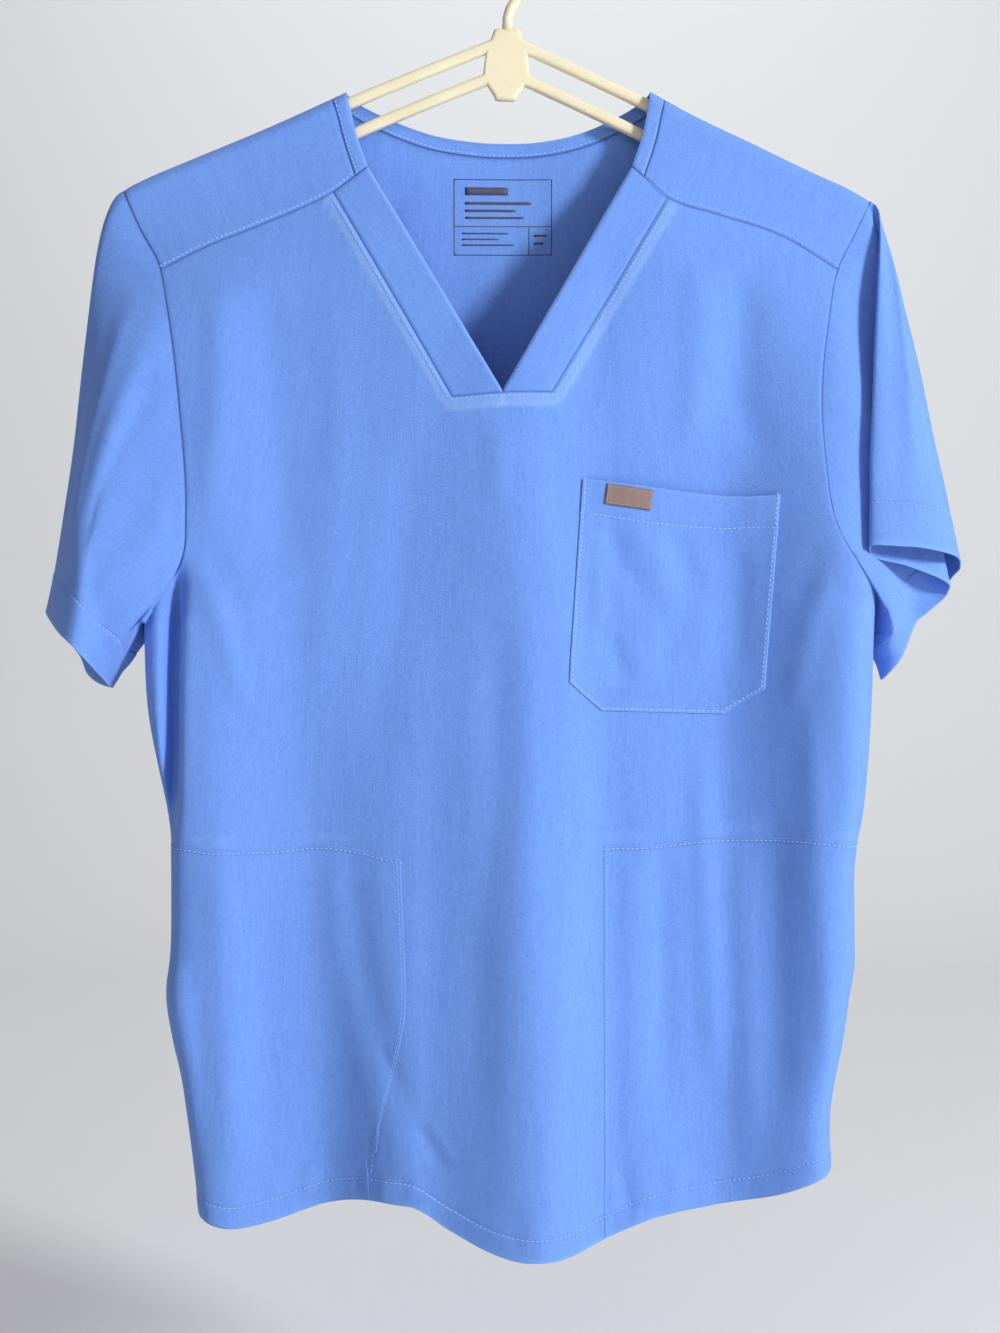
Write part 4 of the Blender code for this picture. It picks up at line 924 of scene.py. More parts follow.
def lower_pocket_grid(side):
    """Across, drop and height above the hem of a lower pocket's points, from its mouth down to the hem."""
    inner, places = LOWER_INNER[side], edge_places(64, 0.3)
    downs = np.concatenate([[0, 0.6, 1.4, 2.4, 4, 6.5], np.linspace(10, 190, 60)]) / 200 * 0.9
    rows = []
    for down, over_hem in [*((down, None) for down in downs), *((1, height) for height in POCKET_HEM_ROWS)]:
        edge_level = inner[0].drop + (inner[-1].drop - inner[0].drop) * down
        edge_share = share_at(smooth_drops(inner)(edge_level), edge_level)
        shares = edge_share + (side * POCKET_SIDE_SHARE - edge_share) * places
        top = smooth_points(LOWER_MOUTH[side])(across_at(shares, inner[0].drop))
        hem = hem_drop(across_at(shares, HEM_LEVEL))
        drop = top + (hem - top) * down if over_hem is None else hem - over_hem
        rows.append(np.stack([across_at(shares, drop), drop, hem - drop]))
    return np.stack(rows, axis=1)


def build_lower_pocket(side):
    across, drop, above = lower_pocket_grid(side)
    mouth, inner_line = lower_pocket_lines(side, 40)
    from_inner, from_mouth = near_line(across, drop, inner_line)[0], near_line(across, drop, mouth)[0]
    edge = np.minimum(from_inner, from_mouth)
    lift = POCKET_LIFT + 0.5 * smooth_step((edge - 1.5) / 16) * smooth_step(above / 60)
    lift -= np.maximum(0.25 * bell(from_mouth, 0.9), 0.28 * bell(from_inner, 4.5))
    lift -= np.where(from_mouth < from_inner, 0.2, 0.04) * bell(edge - 2.4, 0.8)
    lift += turned_hem(above, HEM_STITCH, HEM_SINK) + hem_pucker(across, above)
    mark = np.maximum(0.12 * bell(from_mouth, 1.0), 0.5 * bell(above, 2.0))
    # Painted shade along the rows of stitches at the hem and below the mouth.
    mark -= 0.25 * bell(above - HEM_STITCH, 0.8) + 0.4 * bell(from_mouth - SEW_IN, 0.8)
    sewn_side("lower_pocket", side, raised(across, drop, lift), mark, -1, wall=POCKET_WALL)


for side in (-1, 1):
    build_lower_pocket(side)

# %% [markdown]
# ## Sleeves
# A sleeve is a short tube set into the armhole. On the hanger it falls beside the body, and the wearer's left one
# has folded on itself: its front lies over a second layer behind it. The cuff table gives that folded outline, and
# each path of cloth runs from the armhole to the cuff on a curve with two handles.

# %% Build the sleeves
def armhole_point(side):
    """Gives the point of the armhole at a share of the way round, from the shoulder by the front."""
    line = armhole_line(side, 400)
    halves = []
    for facing in (-1, 1):
        edge = surface(line[:, 0], line[:, 1], facing)
        edge[0, 1] = 0
        lengths = lengths_along(edge)
        halves.append((edge, lengths / lengths[-1]))

    def at(share):
        share = share % 1.0
        edge, lengths = halves[0] if share <= 0.5 else halves[1]
        place = 2 * share if share <= 0.5 else 2 * (1 - share)
        return np.array([np.interp(place, lengths, column) for column in edge.T])

    return at


def round_cuff(rows, name, turn=0.0):
    """A smooth curve of one column of a cuff table, all the way round."""
    wrapped = [(r.share - 1, getattr(r, name) - turn) for r in rows[-2:]]
    wrapped += [(r.share, getattr(r, name)) for r in rows]
    wrapped += [(r.share + 1, getattr(r, name) + turn) for r in rows[:2]]
    return smooth_rows([w[0] for w in wrapped], [w[1] for w in wrapped])


CUFF_ROWS = (36, 32, 29.5, 28.2, 27.5, 27, 26.5, 25.8, 24, 20, 16, 12, 8, 4.5, 2, 0.7, 0)
SLEEVE_START = (0, 0.7, 1.6, 3, 5)
SLEEVE_MIDDLE_ROWS, SLEEVE_COLUMNS = 54, 190


def sleeve_path(rows, side, armhole, share):
    """The cloth's way from the armhole to the cuff at one share of the way round: its points, how far above the
    cuff they are, and how far below the armhole."""
    column = {name: float(round_cuff(rows, name)(share)) for name in Cuff._fields[2:]}
    start = armhole(float(round_cuff(rows, "arm", 1.0)(share)))
    end = np.array([column["across"], -column["depth"], -column["drop"]])
    leave = start + np.array([side * column["out"], -column["fore"], -column["down"]])
    arrive = end + np.array([side * column["end_out"], -column["end_fore"], -column["end_down"]])
    t = np.linspace(0, 1, 90)[:, None]
    way = (1 - t) ** 3 * start + 3 * t * (1 - t) ** 2 * leave + 3 * t * t * (1 - t) * arrive + t ** 3 * end
    lengths = lengths_along(way)
    total = lengths[-1]
    begin, finish = min(SLEEVE_START[-1], total * 0.05), min(CUFF_ROWS[0], total * 0.55)
    middle = begin + (total - finish - begin) * np.linspace(0, 1, SLEEVE_MIDDLE_ROWS + 2)[1:-1]
    heads = np.array(SLEEVE_START) * begin / SLEEVE_START[-1]
    tails = total - np.array(CUFF_ROWS) * finish / CUFF_ROWS[0]
    places = np.concatenate([heads, middle, tails])
    return np.stack([np.interp(places, lengths, c) for c in way.T], axis=1), total - places, places


# The creases' paths run in shares: how far round the sleeve, and how far down it from the armhole.
SLEEVE_CREASES = {
    -1: [Crease([(0.10, 0.05), (0.12, 0.5), (0.16, 0.8)], 0.022, 2.0),
         Crease([(0.20, 0.02), (0.22, 0.4), (0.20, 0.75)], 0.024, -2.2),
         Crease([(0.30, 0.05), (0.32, 0.4), (0.30, 0.8)], 0.022, 1.8),
         Crease([(0.38, 0.2), (0.40, 0.6), (0.38, 0.95)], 0.02, -1.8),
         Crease([(0.04, 0.3), (0.07, 0.9)], 0.018, -1.4), Crease([(0.62, 0.1), (0.66, 0.8)], 0.03, 2.2),
         Crease([(0.74, 0.1), (0.76, 0.8)], 0.03, -2.2), Crease([(0.88, 0.05), (0.86, 0.8)], 0.03, 1.8)],
    1: [Crease([(0.03, 0.05), (0.03, 0.7)], 0.012, 1.2), Crease([(0.06, 0.1), (0.085, 0.9)], 0.014, -1.2),
        Crease([(0.11, 0.1), (0.13, 0.9)], 0.012, 1.0), Crease([(0.66, 0.1), (0.68, 0.8)], 0.03, 2.0),
        Crease([(0.78, 0.1), (0.78, 0.8)], 0.03, -2.0), Crease([(0.90, 0.05), (0.88, 0.8)], 0.03, 1.6)],
}
FOLDED_IN = {-1: (0, 0), 1: (0.1, 0.44)}


def build_sleeve(side):
    """Makes a sleeve and gives the ring of points that its hem is stitched along."""
    rows, armhole = CUFF[side], armhole_point(side)
    ends = [r.share for r in rows] + [1.0]
    counts = np.maximum(4, np.round(SLEEVE_COLUMNS * np.diff(ends)).astype(int))
    shares = np.concatenate([np.linspace(a, b, n, endpoint=False) for a, b, n in zip(ends, ends[1:], counts)])
    paths = [sleeve_path(rows, side, armhole, share) for share in shares]
    points, above, below = (np.stack(part, axis=1) for part in zip(*paths))
    around = np.roll(points, -1, axis=1) - np.roll(points, 1, axis=1)
    outwards = np.cross(np.gradient(points, axis=0), around) * -side
    outwards /= np.maximum(np.linalg.norm(outwards, axis=-1), 1e-9)[..., None]
    around, down = np.repeat(shares[None], len(points), axis=0), below / (above + below)
    calm = smooth_step(below / 25)
    lift = creased(around, down, SLEEVE_CREASES[side]) * calm * smooth_step(above / 20 + 0.4)
    lift += 0.5 * np.sin(around * 40 + 3 * np.sin(down * 4)) * np.sin(down * 9 + around * 11) * calm
    lift += turned_hem(above, SLEEVE_HEM, 0.4)
    points = points + outwards * lift[..., None]
    start, end = FOLDED_IN[side]
    # Painted shade in the armhole seam's ditch, weaker over the stretch that is folded in, and along the hem's row of
    # stitches.
    seam = np.where((around > start) & (around < end), 0.2, 1) * painted_ditch_shade(below)
    mark = 0.6 * bell(above, 1.8) - 0.3 * bell(above - SLEEVE_HEM, 0.8) - seam
    sewn_side("sleeve", side, points, mark, 1, closed=True)
    return points[np.argmin(np.abs(above[:, 0] - SLEEVE_HEM))]


sleeve_hem_rings = {side: build_sleeve(side) for side in (-1, 1)}

# %% [markdown]
# ## Stitches
# The shoulder seams, the V, the binding, the hems and the pockets show rows of machine stitches, each a short thread
# that dips into the cloth at both ends. One small capsule is repeated along curves with Geometry Nodes: the curve is
# cut into points at the stitch's pitch, a capsule is put on each point along the curve, and the instances are made
# real, because only real faces are exported.

# %% Rows of stitches, as lines on the cloth
V_SEW_OUT, FOOT_SEW_OUT, BINDING_SEW_IN, CHEST_SEW_IN, CHEST_SEW_LIFT = 2.6, 1.8, 1.6, 1.7, 0.12


def on_cloth(line, lift, facing=-1):
    return raised(line[:, 0], line[:, 1], lift, facing)


def on_chest_pocket(line):
    return on_cloth(line, CHEST_SEW_LIFT + chest_pocket_lift(line[:, 0], line[:, 1]))


def fine_line(points, step=2.0):
    """A line with a point about every step."""
    line = np.asarray(points, float)
    count = max(2, int(lengths_along(line)[-1] / step))
    return along(line, np.linspace(0, 1, count))


def hem_row(facing):
    """The body's row of hem stitches, in front or behind; in front it also runs over the lower pockets."""
    places = np.linspace(-0.992, 0.992, 320)
    drop = (hem_drop if facing < 0 else back_hem_drop)(across_at(places, HEM_LEVEL)) - HEM_STITCH
    across = across_at(places, drop)
    over_pocket = (across < np.interp(drop, [591, 800], [-65, -83])) | (across > 60.4)
    over_pocket &= (np.abs(places) < POCKET_SIDE_SHARE) & (facing < 0)
    return raised(across, drop, np.where(over_pocket, POCKET_LIFT, 0) - 0.1, facing)


stitch_rows, faint_rows = [], []
for side in (-1, 1):
    seam = shoulder_seam(side, np.linspace(0.01, 0.99, 80))
    v_side = smooth_line([YOKE[side][-1], V_SEAM[side]], np.linspace(0.03, 0.99, 90))
    foot = smooth_line([V_SEAM[side], V_SEAM_CENTRE], np.linspace(0, 0.96, 20))
    stitch_rows += [
        on_cloth(offset_line(seam, side * SEW_IN), 0.15), on_cloth(offset_line(v_side, -side * V_SEW_OUT), 0.65),
        on_cloth(foot + (0, FOOT_SEW_OUT), 0.5),
        on_cloth(binding_edge(side, BINDING_WIDTH - BINDING_SEW_IN, np.linspace(0.1, 0.97, 40)), 0.5)]
line = beside_neck(BACK_NECK, BINDING_WIDTH - BINDING_SEW_IN, np.linspace(0.05, 0.95, 150))
stitch_rows += [on_cloth(line, 0.6, 1), on_cloth(line, -1.2, 1), hem_row(-1), hem_row(1)]
stitch_rows.append(on_chest_pocket(offset_line(fine_line(pocket_edge(), 1.5), -CHEST_SEW_IN)))
stitch_rows.append(on_chest_pocket(fine_line(POCKET_HEM)))
mouth = CHEST_POCKET[0]
mouth_ends = (mouth.right_across + 1.2, mouth.right_drop, -0.6), (mouth.left_across - 1.4, mouth.left_drop, -1.2)
for across, drop, lean in mouth_ends:
    stitch_rows.append(on_chest_pocket(fine_line([(across, drop + 1.5), (across + lean, drop + 18.5)], 1)))
for side in (-1, 1):
    mouth_line, inner_line = lower_pocket_lines(side, 60)
    stitch_rows.append(on_cloth(fine_line(mouth_line + (0, SEW_IN)), POCKET_LIFT - 0.1))
    faint_rows.append(on_cloth(offset_line(inner_line[:-6], side * -SEW_IN), POCKET_LIFT - 0.2))
    ring = sleeve_hem_rings[side]
    stitch_rows.append(np.concatenate([ring, ring[:1]]))
sewn_length = sum(lengths_along(row)[-1] for row in stitch_rows) * MM
print(len(stitch_rows), "rows of stitches,", round(sewn_length, 2), "m in all")

# %% The stitch tree
def stitch_shape():
    """One thread of a stitch: a capsule 1 unit long and thick along Z, with its ends drawn in."""
    rings = [(-0.5, 0.35), (-0.3, 0.95), (0.3, 0.95), (0.5, 0.35)]
    corners = [(radius * math.cos(a) / 2, radius * math.sin(a) / 2, z) for z, radius in rings
               for a in np.radians([0, 72, 144, 216, 288])]
    faces = []
    for first in (0, 5, 10):
        faces += [(first + k, first + (k + 1) % 5, first + 5 + (k + 1) % 5, first + 5 + k) for k in range(5)]
    faces += [(4, 3, 2, 1, 0), (15, 16, 17, 18, 19)]
    data = bpy.data.meshes.new("stitch_shape")
    data.from_pydata(corners, [], faces)
    return bpy.data.objects.new("stitch_shape", data)


SOCKET_KINDS = {"Geometry": "Geometry", "Pitch": "Float", "Stitch length": "Float", "Thread": "Float",
                "Stitch": "Object", "Finish": "Material"}


def stitch_tree():
    """Geometry nodes that sew capsules along every curve they are given."""
    tree = bpy.data.node_groups.new("row of stitches", "GeometryNodeTree")
    for name, kind in SOCKET_KINDS.items():
        tree.interface.new_socket(name, in_out="INPUT", socket_type="NodeSocket" + kind)
    tree.interface.new_socket("Geometry", in_out="OUTPUT", socket_type="NodeSocketGeometry")
    start, points, shape, size, place, real, finish, end = (tree.nodes.new(kind) for kind in (
        "NodeGroupInput", "GeometryNodeCurveToPoints", "GeometryNodeObjectInfo", "ShaderNodeCombineXYZ",
        "GeometryNodeInstanceOnPoints", "GeometryNodeRealizeInstances", "GeometryNodeSetMaterial", "NodeGroupOutput"))
    points.mode = "LENGTH"
    for source, output, target, entry in (
            (start, "Geometry", points, "Curve"), (start, "Pitch", points, "Length"),
            (start, "Stitch", shape, "Object"), (start, "Thread", size, "X"), (start, "Thread", size, "Y"),
            (start, "Stitch length", size, "Z"), (points, "Points", place, "Points"),
            (points, "Rotation", place, "Rotation"), (shape, "Geometry", place, "Instance"),
            (size, "Vector", place, "Scale"), (place, "Instances", real, "Geometry"),
            (real, "Geometry", finish, "Geometry"), (start, "Finish", finish, "Material"),
            (finish, "Geometry", end, "Geometry")):
        tree.links.new(source.outputs[output], target.inputs[entry])
    return tree


def add_spline(curve, points, closed=False):
    """Draws a line through points that are in millimetres."""
    spline = curve.splines.new("POLY")
    spline.points.add(len(points) - 1)
    spline.points.foreach_set("co", np.column_stack([points * MM, np.ones(len(points))]).ravel())
    spline.use_cyclic_u = closed
    return spline


def sew(name, rows, finish, pitch=3.0, length=2.0, thread=0.62):
    """Rows of points become one mesh of stitches."""
    curve = bpy.data.curves.new(name, "CURVE")
    curve.dimensions = "3D"
    for row in rows:
        add_spline(curve, row)
    guide, shape, tree = put_in_scene(name + "_guide", curve), stitch_shape(), stitch_tree()
    sewing = guide.modifiers.new("stitches", "NODES")
    sewing.node_group = tree
    values = {"Pitch": pitch * MM, "Stitch length": length * MM, "Thread": thread * MM, "Stitch": shape,
              "Finish": finish}
    for socket in tree.interface.items_tree:
        if socket.in_out == "INPUT" and socket.name in values:
            sewing[socket.identifier] = values[socket.name]
    view = bpy.context.evaluated_depsgraph_get()
    data = bpy.data.meshes.new_from_object(guide.evaluated_get(view), depsgraph=view)
    data.name = name
    data.shade_smooth()
    bpy.data.objects.remove(guide)
    bpy.data.objects.remove(shape)
    print(name, "has", len(data.polygons), "faces")
    return put_in_scene(name, data)


# %% [markdown]
# ## Finishes
# A finish is a small tree of shader nodes. Two short classes keep it readable: a wire is a socket that takes part in
# sums, and a board makes nodes. Whatever changes over the surface goes to the colour, the roughness or the normal;
# what is the same everywhere is set on the shader's own socket.

# %% Wires and boards
class Wire:
    """A number socket that does sums."""

    def __init__(self, board, socket):
        self.board, self.socket = board, socket

    def math(self, operation, *others, swap=False):
        values = [*others, self] if swap else [self, *others]
        return self.board.add("ShaderNodeMath", {"operation": operation}, dict(enumerate(values)))[0]

    def __add__(self, other): return self.math("ADD", other)
    def __sub__(self, other): return self.math("SUBTRACT", other)
    def __rsub__(self, other): return self.math("SUBTRACT", other, swap=True)
    def __mul__(self, other): return self.math("MULTIPLY", other)
    __radd__, __rmul__ = __add__, __mul__


class Board:
    """A material's node tree."""

    def __init__(self, name):
        self.material = bpy.data.materials.new(name)
        self.material.use_nodes = True
        self.tree = self.material.node_tree
        self.shader = self.tree.nodes["Principled BSDF"]

    def put(self, socket, value):
        if isinstance(value, Wire):
            self.tree.links.new(value.socket, socket)
        else:
            socket.default_value = value

    def add(self, kind, settings=None, sockets=None):
        """Makes a node: settings first, then its sockets by name or number. Gives its outputs as wires."""
        made = self.tree.nodes.new(kind)
        for key, value in (settings or {}).items():
            setattr(made, key, value)
        for key, value in (sockets or {}).items():
            self.put(made.inputs[key], value)
        return [Wire(self, socket) for socket in made.outputs]

    def here(self):
        """The place on the piece, in metres."""
        return self.add("ShaderNodeTexCoord")[3]

    def mix(self, factor, a, b):
        """One colour from two."""
        return self.add("ShaderNodeMix", {"data_type": "RGBA"}, {0: factor, 6: a, 7: b})[2]

    def noise(self, vector, scale, detail, roughness=0.5):
        sockets = {"Vector": vector, "Scale": scale, "Detail": detail, "Roughness": roughness}
        return self.add("ShaderNodeTexNoise", {}, sockets)[0]

    def bump(self, height, strength, distance):
        return self.add("ShaderNodeBump", {}, {"Strength": strength, "Distance": distance, "Height": height})[0]

    def set(self, **values):
        for key, value in values.items():
            self.put(self.shader.inputs[key.replace("_", " ")], value)


def colour(*rgb):
    return (*rgb, 1.0)


print("boards ready")

# %% Scrub cloth
# The weave's and the tab's ribs are sine waves, in radians for each metre.
WEAVE_WAVE, DIAGONAL_WAVE, RIB_WAVE = 13000.0, 6500.0, 9000.0


def scrub_cloth():
    """Bright blue polyester and cotton, plain woven, with paler pressed and rubbed edges, a painted shine above the
    lower pockets' mouths, and painted shade in the seams' ditches and along rows of stitches.
    """
    board = Board("scrub_cloth_finish")
    uv, here = board.add("ShaderNodeUVMap", {"uv_map": "cloth"})[0], board.here()
    wear_and_painted_light = board.add("ShaderNodeAttribute", {"attribute_name": "wear_and_painted_light"})[2]
    u, v, _ = board.add("ShaderNodeSeparateXYZ", {}, {0: uv})

    def long_noise(scale, detail):
        """Noise drawn out along the warp."""
        return board.noise(board.add("ShaderNodeMapping", {}, {"Vector": uv, "Scale": scale})[0], 1.0, detail)

    warp, weft = (u * WEAVE_WAVE).math("SINE"), (v * WEAVE_WAVE).math("SINE")
    weave = warp * weft * 0.5 + ((u + v) * DIAGONAL_WAVE).math("SINE") * 0.25
    slub, streak = long_noise((520, 60, 1), 2.0), long_noise((150, 12, 1), 3.0)
    grain, cloud = board.noise(here, 900.0, 2.0), board.noise(here, 9.0, 2.0)
    mottle = board.noise(here, 420.0, 2.0, 0.7)
    tone = (grain - 0.5) * 0.9 + (mottle - 0.5) * 0.45 + (slub - 0.5) * 0.5
    tone = tone + (streak - 0.5) * 0.3 + (cloud - 0.5) * 0.15 + 0.5
    base = board.mix(tone, colour(0.125, 0.275, 0.78), colour(0.22, 0.415, 0.97))
    # Above 0 the mark pales the cloth for pressed and rubbed wear and for a painted shine; below 0 it mixes in dark
    # blue as painted shade.
    pale, dark = wear_and_painted_light.math("MAXIMUM", 0.0), (wear_and_painted_light * -1.0).math("MAXIMUM", 0.0)
    base = board.mix(pale * (grain * 0.8 + 0.6) * 0.45, base, colour(0.34, 0.56, 1.0))
    base = board.mix(dark.math("MINIMUM", 1.0) * 0.75, base, colour(0.05, 0.115, 0.42))
    bump = board.bump(weave + grain * 1.8 + mottle * 1.2 + slub * 1.2, 0.5, 0.0003)
    board.set(Base_Color=base, Roughness=0.72 + grain * 0.16, Normal=bump)
    board.set(Sheen_Weight=0.25, Sheen_Roughness=0.5, Sheen_Tint=colour(0.55, 0.72, 1.0), Specular_IOR_Level=0.25)
    return board.material


def thread_finish():
    board = Board("thread_finish")
    twist = board.noise(board.here(), 2400.0, 1.0)
    base = board.mix(twist, colour(0.30, 0.54, 1.0), colour(0.50, 0.72, 1.0))
    board.set(Base_Color=base, Roughness=0.5 + twist * 0.2, Sheen_Weight=0.2)
    return board.material


cloth, thread = scrub_cloth(), thread_finish()
stitches = sew("stitches", stitch_rows, thread)
faint_stitches = sew("faint_stitches", faint_rows, thread, thread=0.32)

# %% [markdown]
# ## Tab
# A brown woven tab is stitched flat to the pocket's mouth on all four sides. It is left blank.

# %% Build the tab
TAB_LIFT, TAB_PUFF, TAB_WALL, TAB_SEW_IN, TAB_SEW_LIFT = 0.75, 0.35, 0.7, 1.3, 1.15


def tab_at(across, down):
    return TAB_CORNER.across + across - TAB_SLOPE * down, TAB_CORNER.drop + down + TAB_SLOPE * across


along_tab, down_tab = np.meshgrid(np.linspace(0, TAB_WIDTH, 30), np.linspace(0, TAB_HEIGHT, 14))
edge = np.minimum(np.minimum(along_tab, TAB_WIDTH - along_tab), np.minimum(down_tab, TAB_HEIGHT - down_tab))
across, drop = tab_at(along_tab, down_tab)
lift = chest_pocket_lift(across, drop) + TAB_LIFT + TAB_PUFF * smooth_step(edge / 2.0)
sewn_piece("pocket_tab_tape", [raised(across, drop, lift)[:, ::-1]], "pocket_tab", wall=TAB_WALL)
near, far, foot = TAB_SEW_IN, TAB_WIDTH - TAB_SEW_IN, TAB_HEIGHT - TAB_SEW_IN
line = fine_line([(near, near), (far, near), (far, foot), (near, foot), (near, near)], 0.7)
across, drop = tab_at(line[:, 0], line[:, 1])
tab_row = raised(across, drop, chest_pocket_lift(across, drop) + TAB_SEW_LIFT)


def tab_finish():
    board = Board("tab_finish")
    here = board.here()
    ribs = (board.add("ShaderNodeSeparateXYZ", {}, {0: here})[0] * RIB_WAVE).math("SINE")
    fleck = board.noise(here, 1400.0, 2.0)
    base = board.mix(fleck, colour(0.17, 0.10, 0.085), colour(0.36, 0.24, 0.21))
    bump = board.bump(ribs + fleck * 2.0, 0.4, 0.0002)
    board.set(Base_Color=base, Roughness=0.45 + fleck * 0.2, Normal=bump, Sheen_Weight=0.15)
    return board.material


def tab_thread_finish():
    board = Board("tab_thread_finish")
    fleck = board.noise(board.here(), 2000.0, 1.0)
    base = board.mix(fleck, colour(0.46, 0.33, 0.30), colour(0.66, 0.52, 0.48))
    board.set(Base_Color=base, Roughness=0.5 + fleck * 0.1)
    return board.material


tab_stitches = sew("tab_stitches", [tab_row], tab_thread_finish(), pitch=1.7, length=1.2, thread=0.5)

# %% [markdown]
# ## Hanger
# The hanger is moulded in cream plastic: two thin rails on each side that join at a round outer end, a block in the
# middle and a round hook. Its outline and its two slots are drawn as one flat curve, which Blender fills, thickens
# and rounds at the edges. The whole hanger hangs a degree and a half out of level.

# %% Build the hanger
UPPER_RAIL = points_of((9, 68.6), (60, 90.6), (102, 109.6), (151, 133.4), (199, 155))
RAIL_HALF_HEIGHT, RAIL_SPACING, RAIL_DEPTH, RAIL_BEVEL = 3.75, 19.0, 7.0, 2.6
BLOCK_HALF_WIDTH, BLOCK_FOOT_HALF_WIDTH, BLOCK_TOP, BLOCK_FOOT = 9.5, 6.4, 58.0, 104.5
HOOK_ROD_RADIUS, HOOK_BEND_RADIUS, HOOK_OPEN_ANGLE, HOOK_NECK_ANGLE = 3.4, 21.4, 197.0, -38.0
HANG_TILT, FRAME_SHIFT, HOOK_TIP_TAPER = math.radians(-1.5), 3.0, (0.45, 0.78, 0.94)


def tilt(across, drop):
    """Turns a point of the hanger about the hook's hanging point."""
    turn = math.cos(HANG_TILT), math.sin(HANG_TILT)
    return turn[0] * across + turn[1] * drop, -drop * turn[0] + turn[1] * across


def rail_edge(offset):
    return offset_line(smooth_line(UPPER_RAIL, np.linspace(0, 1, 33)), offset)


def round_end(upper, lower, steps=19):
    """The rails' outer end: a half circle from one edge to the other."""
    centre, radius = (upper + lower) / 2, np.linalg.norm(upper - lower) / 2
    start = math.atan2(*(upper - centre)[::-1])
    angles = start + np.linspace(0, math.pi, steps + 2)[1:-1]
    return centre + radius * np.stack([np.cos(angles), np.sin(angles)], axis=1)


def hanger_outlines():
    """The frame's outline and its two slots, as rings of (across, drop)."""
    half, side, sole_side = RAIL_HALF_HEIGHT, BLOCK_HALF_WIDTH, BLOCK_FOOT_HALF_WIDTH
    block = [(0, BLOCK_TOP), (side - 3, BLOCK_TOP), (side - 0.8, BLOCK_TOP + 1.2), (side, BLOCK_TOP + 4)]
    sole = [(sole_side + 1.2, BLOCK_FOOT - 3), (sole_side + 0.4, BLOCK_FOOT - 0.9),
            (sole_side - 1.5, BLOCK_FOOT), (0, BLOCK_FOOT)]
    starts = {-half: 0, half: 4, RAIL_SPACING - half: 1, RAIL_SPACING + half: 1}
    edges = [rail_edge(offset) for offset in starts]
    top, slot_top, slot_foot, foot = (edge[edge[:, 0] > side + start] for edge, start in zip(edges, starts.values()))
    right = np.concatenate([block, top, round_end(top[-1], foot[-1]), foot[::-1], sole])
    outer = np.concatenate([right, right[-2:0:-1] * (-1, 1)])
    slot = np.concatenate([slot_top, round_end(slot_top[-1], slot_foot[-1], 9), slot_foot[::-1]])
    return [outer, slot, slot[::-1] * (-1, 1)]


def to_mesh_piece(name, curve, turn=0.0):
    """A curve made into a mesh and turned about X."""
    source = put_in_scene(name, curve)
    source.rotation_euler.x = turn
    bpy.context.view_layer.update()
    view = bpy.context.evaluated_depsgraph_get()
    data = bpy.data.meshes.new_from_object(source.evaluated_get(view), depsgraph=view)
    data.transform(source.matrix_world)
    bpy.data.objects.remove(source)
    form = bmesh.new()
    form.from_mesh(data)
    bmesh.ops.remove_doubles(form, verts=form.verts, dist=0.00001)
    bmesh.ops.recalc_face_normals(form, faces=form.faces)
    form.to_mesh(data)
    form.free()
    data.name = name
    data.shade_smooth()
    print(name, "has", len(data.polygons), "faces")
    return put_in_scene(name, data)


curve = bpy.data.curves.new("hanger_frame", "CURVE")
curve.dimensions, curve.fill_mode = "2D", "BOTH"
curve.bevel_depth, curve.bevel_resolution = RAIL_BEVEL * MM, 4
curve.extrude, curve.offset = (RAIL_DEPTH / 2 - RAIL_BEVEL) * MM, -RAIL_BEVEL * MM
for ring in hanger_outlines():
    x, z = tilt(ring[:, 0] + FRAME_SHIFT, ring[:, 1])
    add_spline(curve, np.column_stack([x, z, 0 * x]), closed=True)
hanger = to_mesh_piece("hanger_frame", curve, math.pi / 2)
hanger.data.set_sharp_from_angle(angle=math.radians(50))

# %% Build the hook
centre = HOOK_BEND_RADIUS - HOOK_ROD_RADIUS
angles = np.radians(np.linspace(HOOK_OPEN_ANGLE, HOOK_NECK_ANGLE, 64))
bend = np.stack([np.cos(angles), -np.sin(angles)], axis=1) * HOOK_BEND_RADIUS + (0, centre)
neck_bend = bend[-1] + [(-2.4, 1.9), (-5.5, 4.6), (-8.0, 7.2), (-9.9, 9.9), (-11.4, 12.2), (-12.4, 14.2)]
route = np.concatenate([bend, neck_bend, [(FRAME_SHIFT, BLOCK_TOP - 7), (FRAME_SHIFT, BLOCK_TOP + 1.5)]])
curve = bpy.data.curves.new("hook_rod", "CURVE")
curve.dimensions, curve.use_fill_caps = "3D", True
curve.bevel_depth, curve.bevel_resolution = HOOK_ROD_RADIUS * MM, 6
x, z = tilt(route[:, 0], route[:, 1])
rod = add_spline(curve, np.column_stack([x, 0 * x, z]))
rod.points.foreach_set("radius", np.append(HOOK_TIP_TAPER, np.ones(len(route) - len(HOOK_TIP_TAPER))))
hook = to_mesh_piece("hook_rod", curve)


# %% Cream plastic
def cream_plastic():
    board = Board("cream_plastic_finish")
    here = board.here()
    cloud, scuff = board.noise(here, 40.0, 3.0), board.noise(here, 700.0, 4.0)
    base = board.mix(cloud, colour(0.80, 0.70, 0.46), colour(0.90, 0.83, 0.62))
    board.set(Base_Color=base, Roughness=0.2 + scuff * 0.18, Normal=board.bump(scuff, 0.15, 0.0003))
    board.set(Subsurface_Weight=0.12, Subsurface_Scale=0.003)
    return board.material


plastic = cream_plastic()
for piece in (hanger, hook):
    piece.data.materials.clear()
    piece.data.materials.append(plastic)
print("hanger and hook:", plastic.name)

# %% [markdown]
# ## Neck print
# A maker's details are often printed inside the back neck. Here the place holds a plain generic frame with a few
# bars, printed in dark grey ink: each stroke is a hair-thin strip that follows the inside of the cloth.

# %% Build the neck print
PRINT_STEP, PRINT_DEPTH, PRINT_WALL = 3, 1.05, 0.08
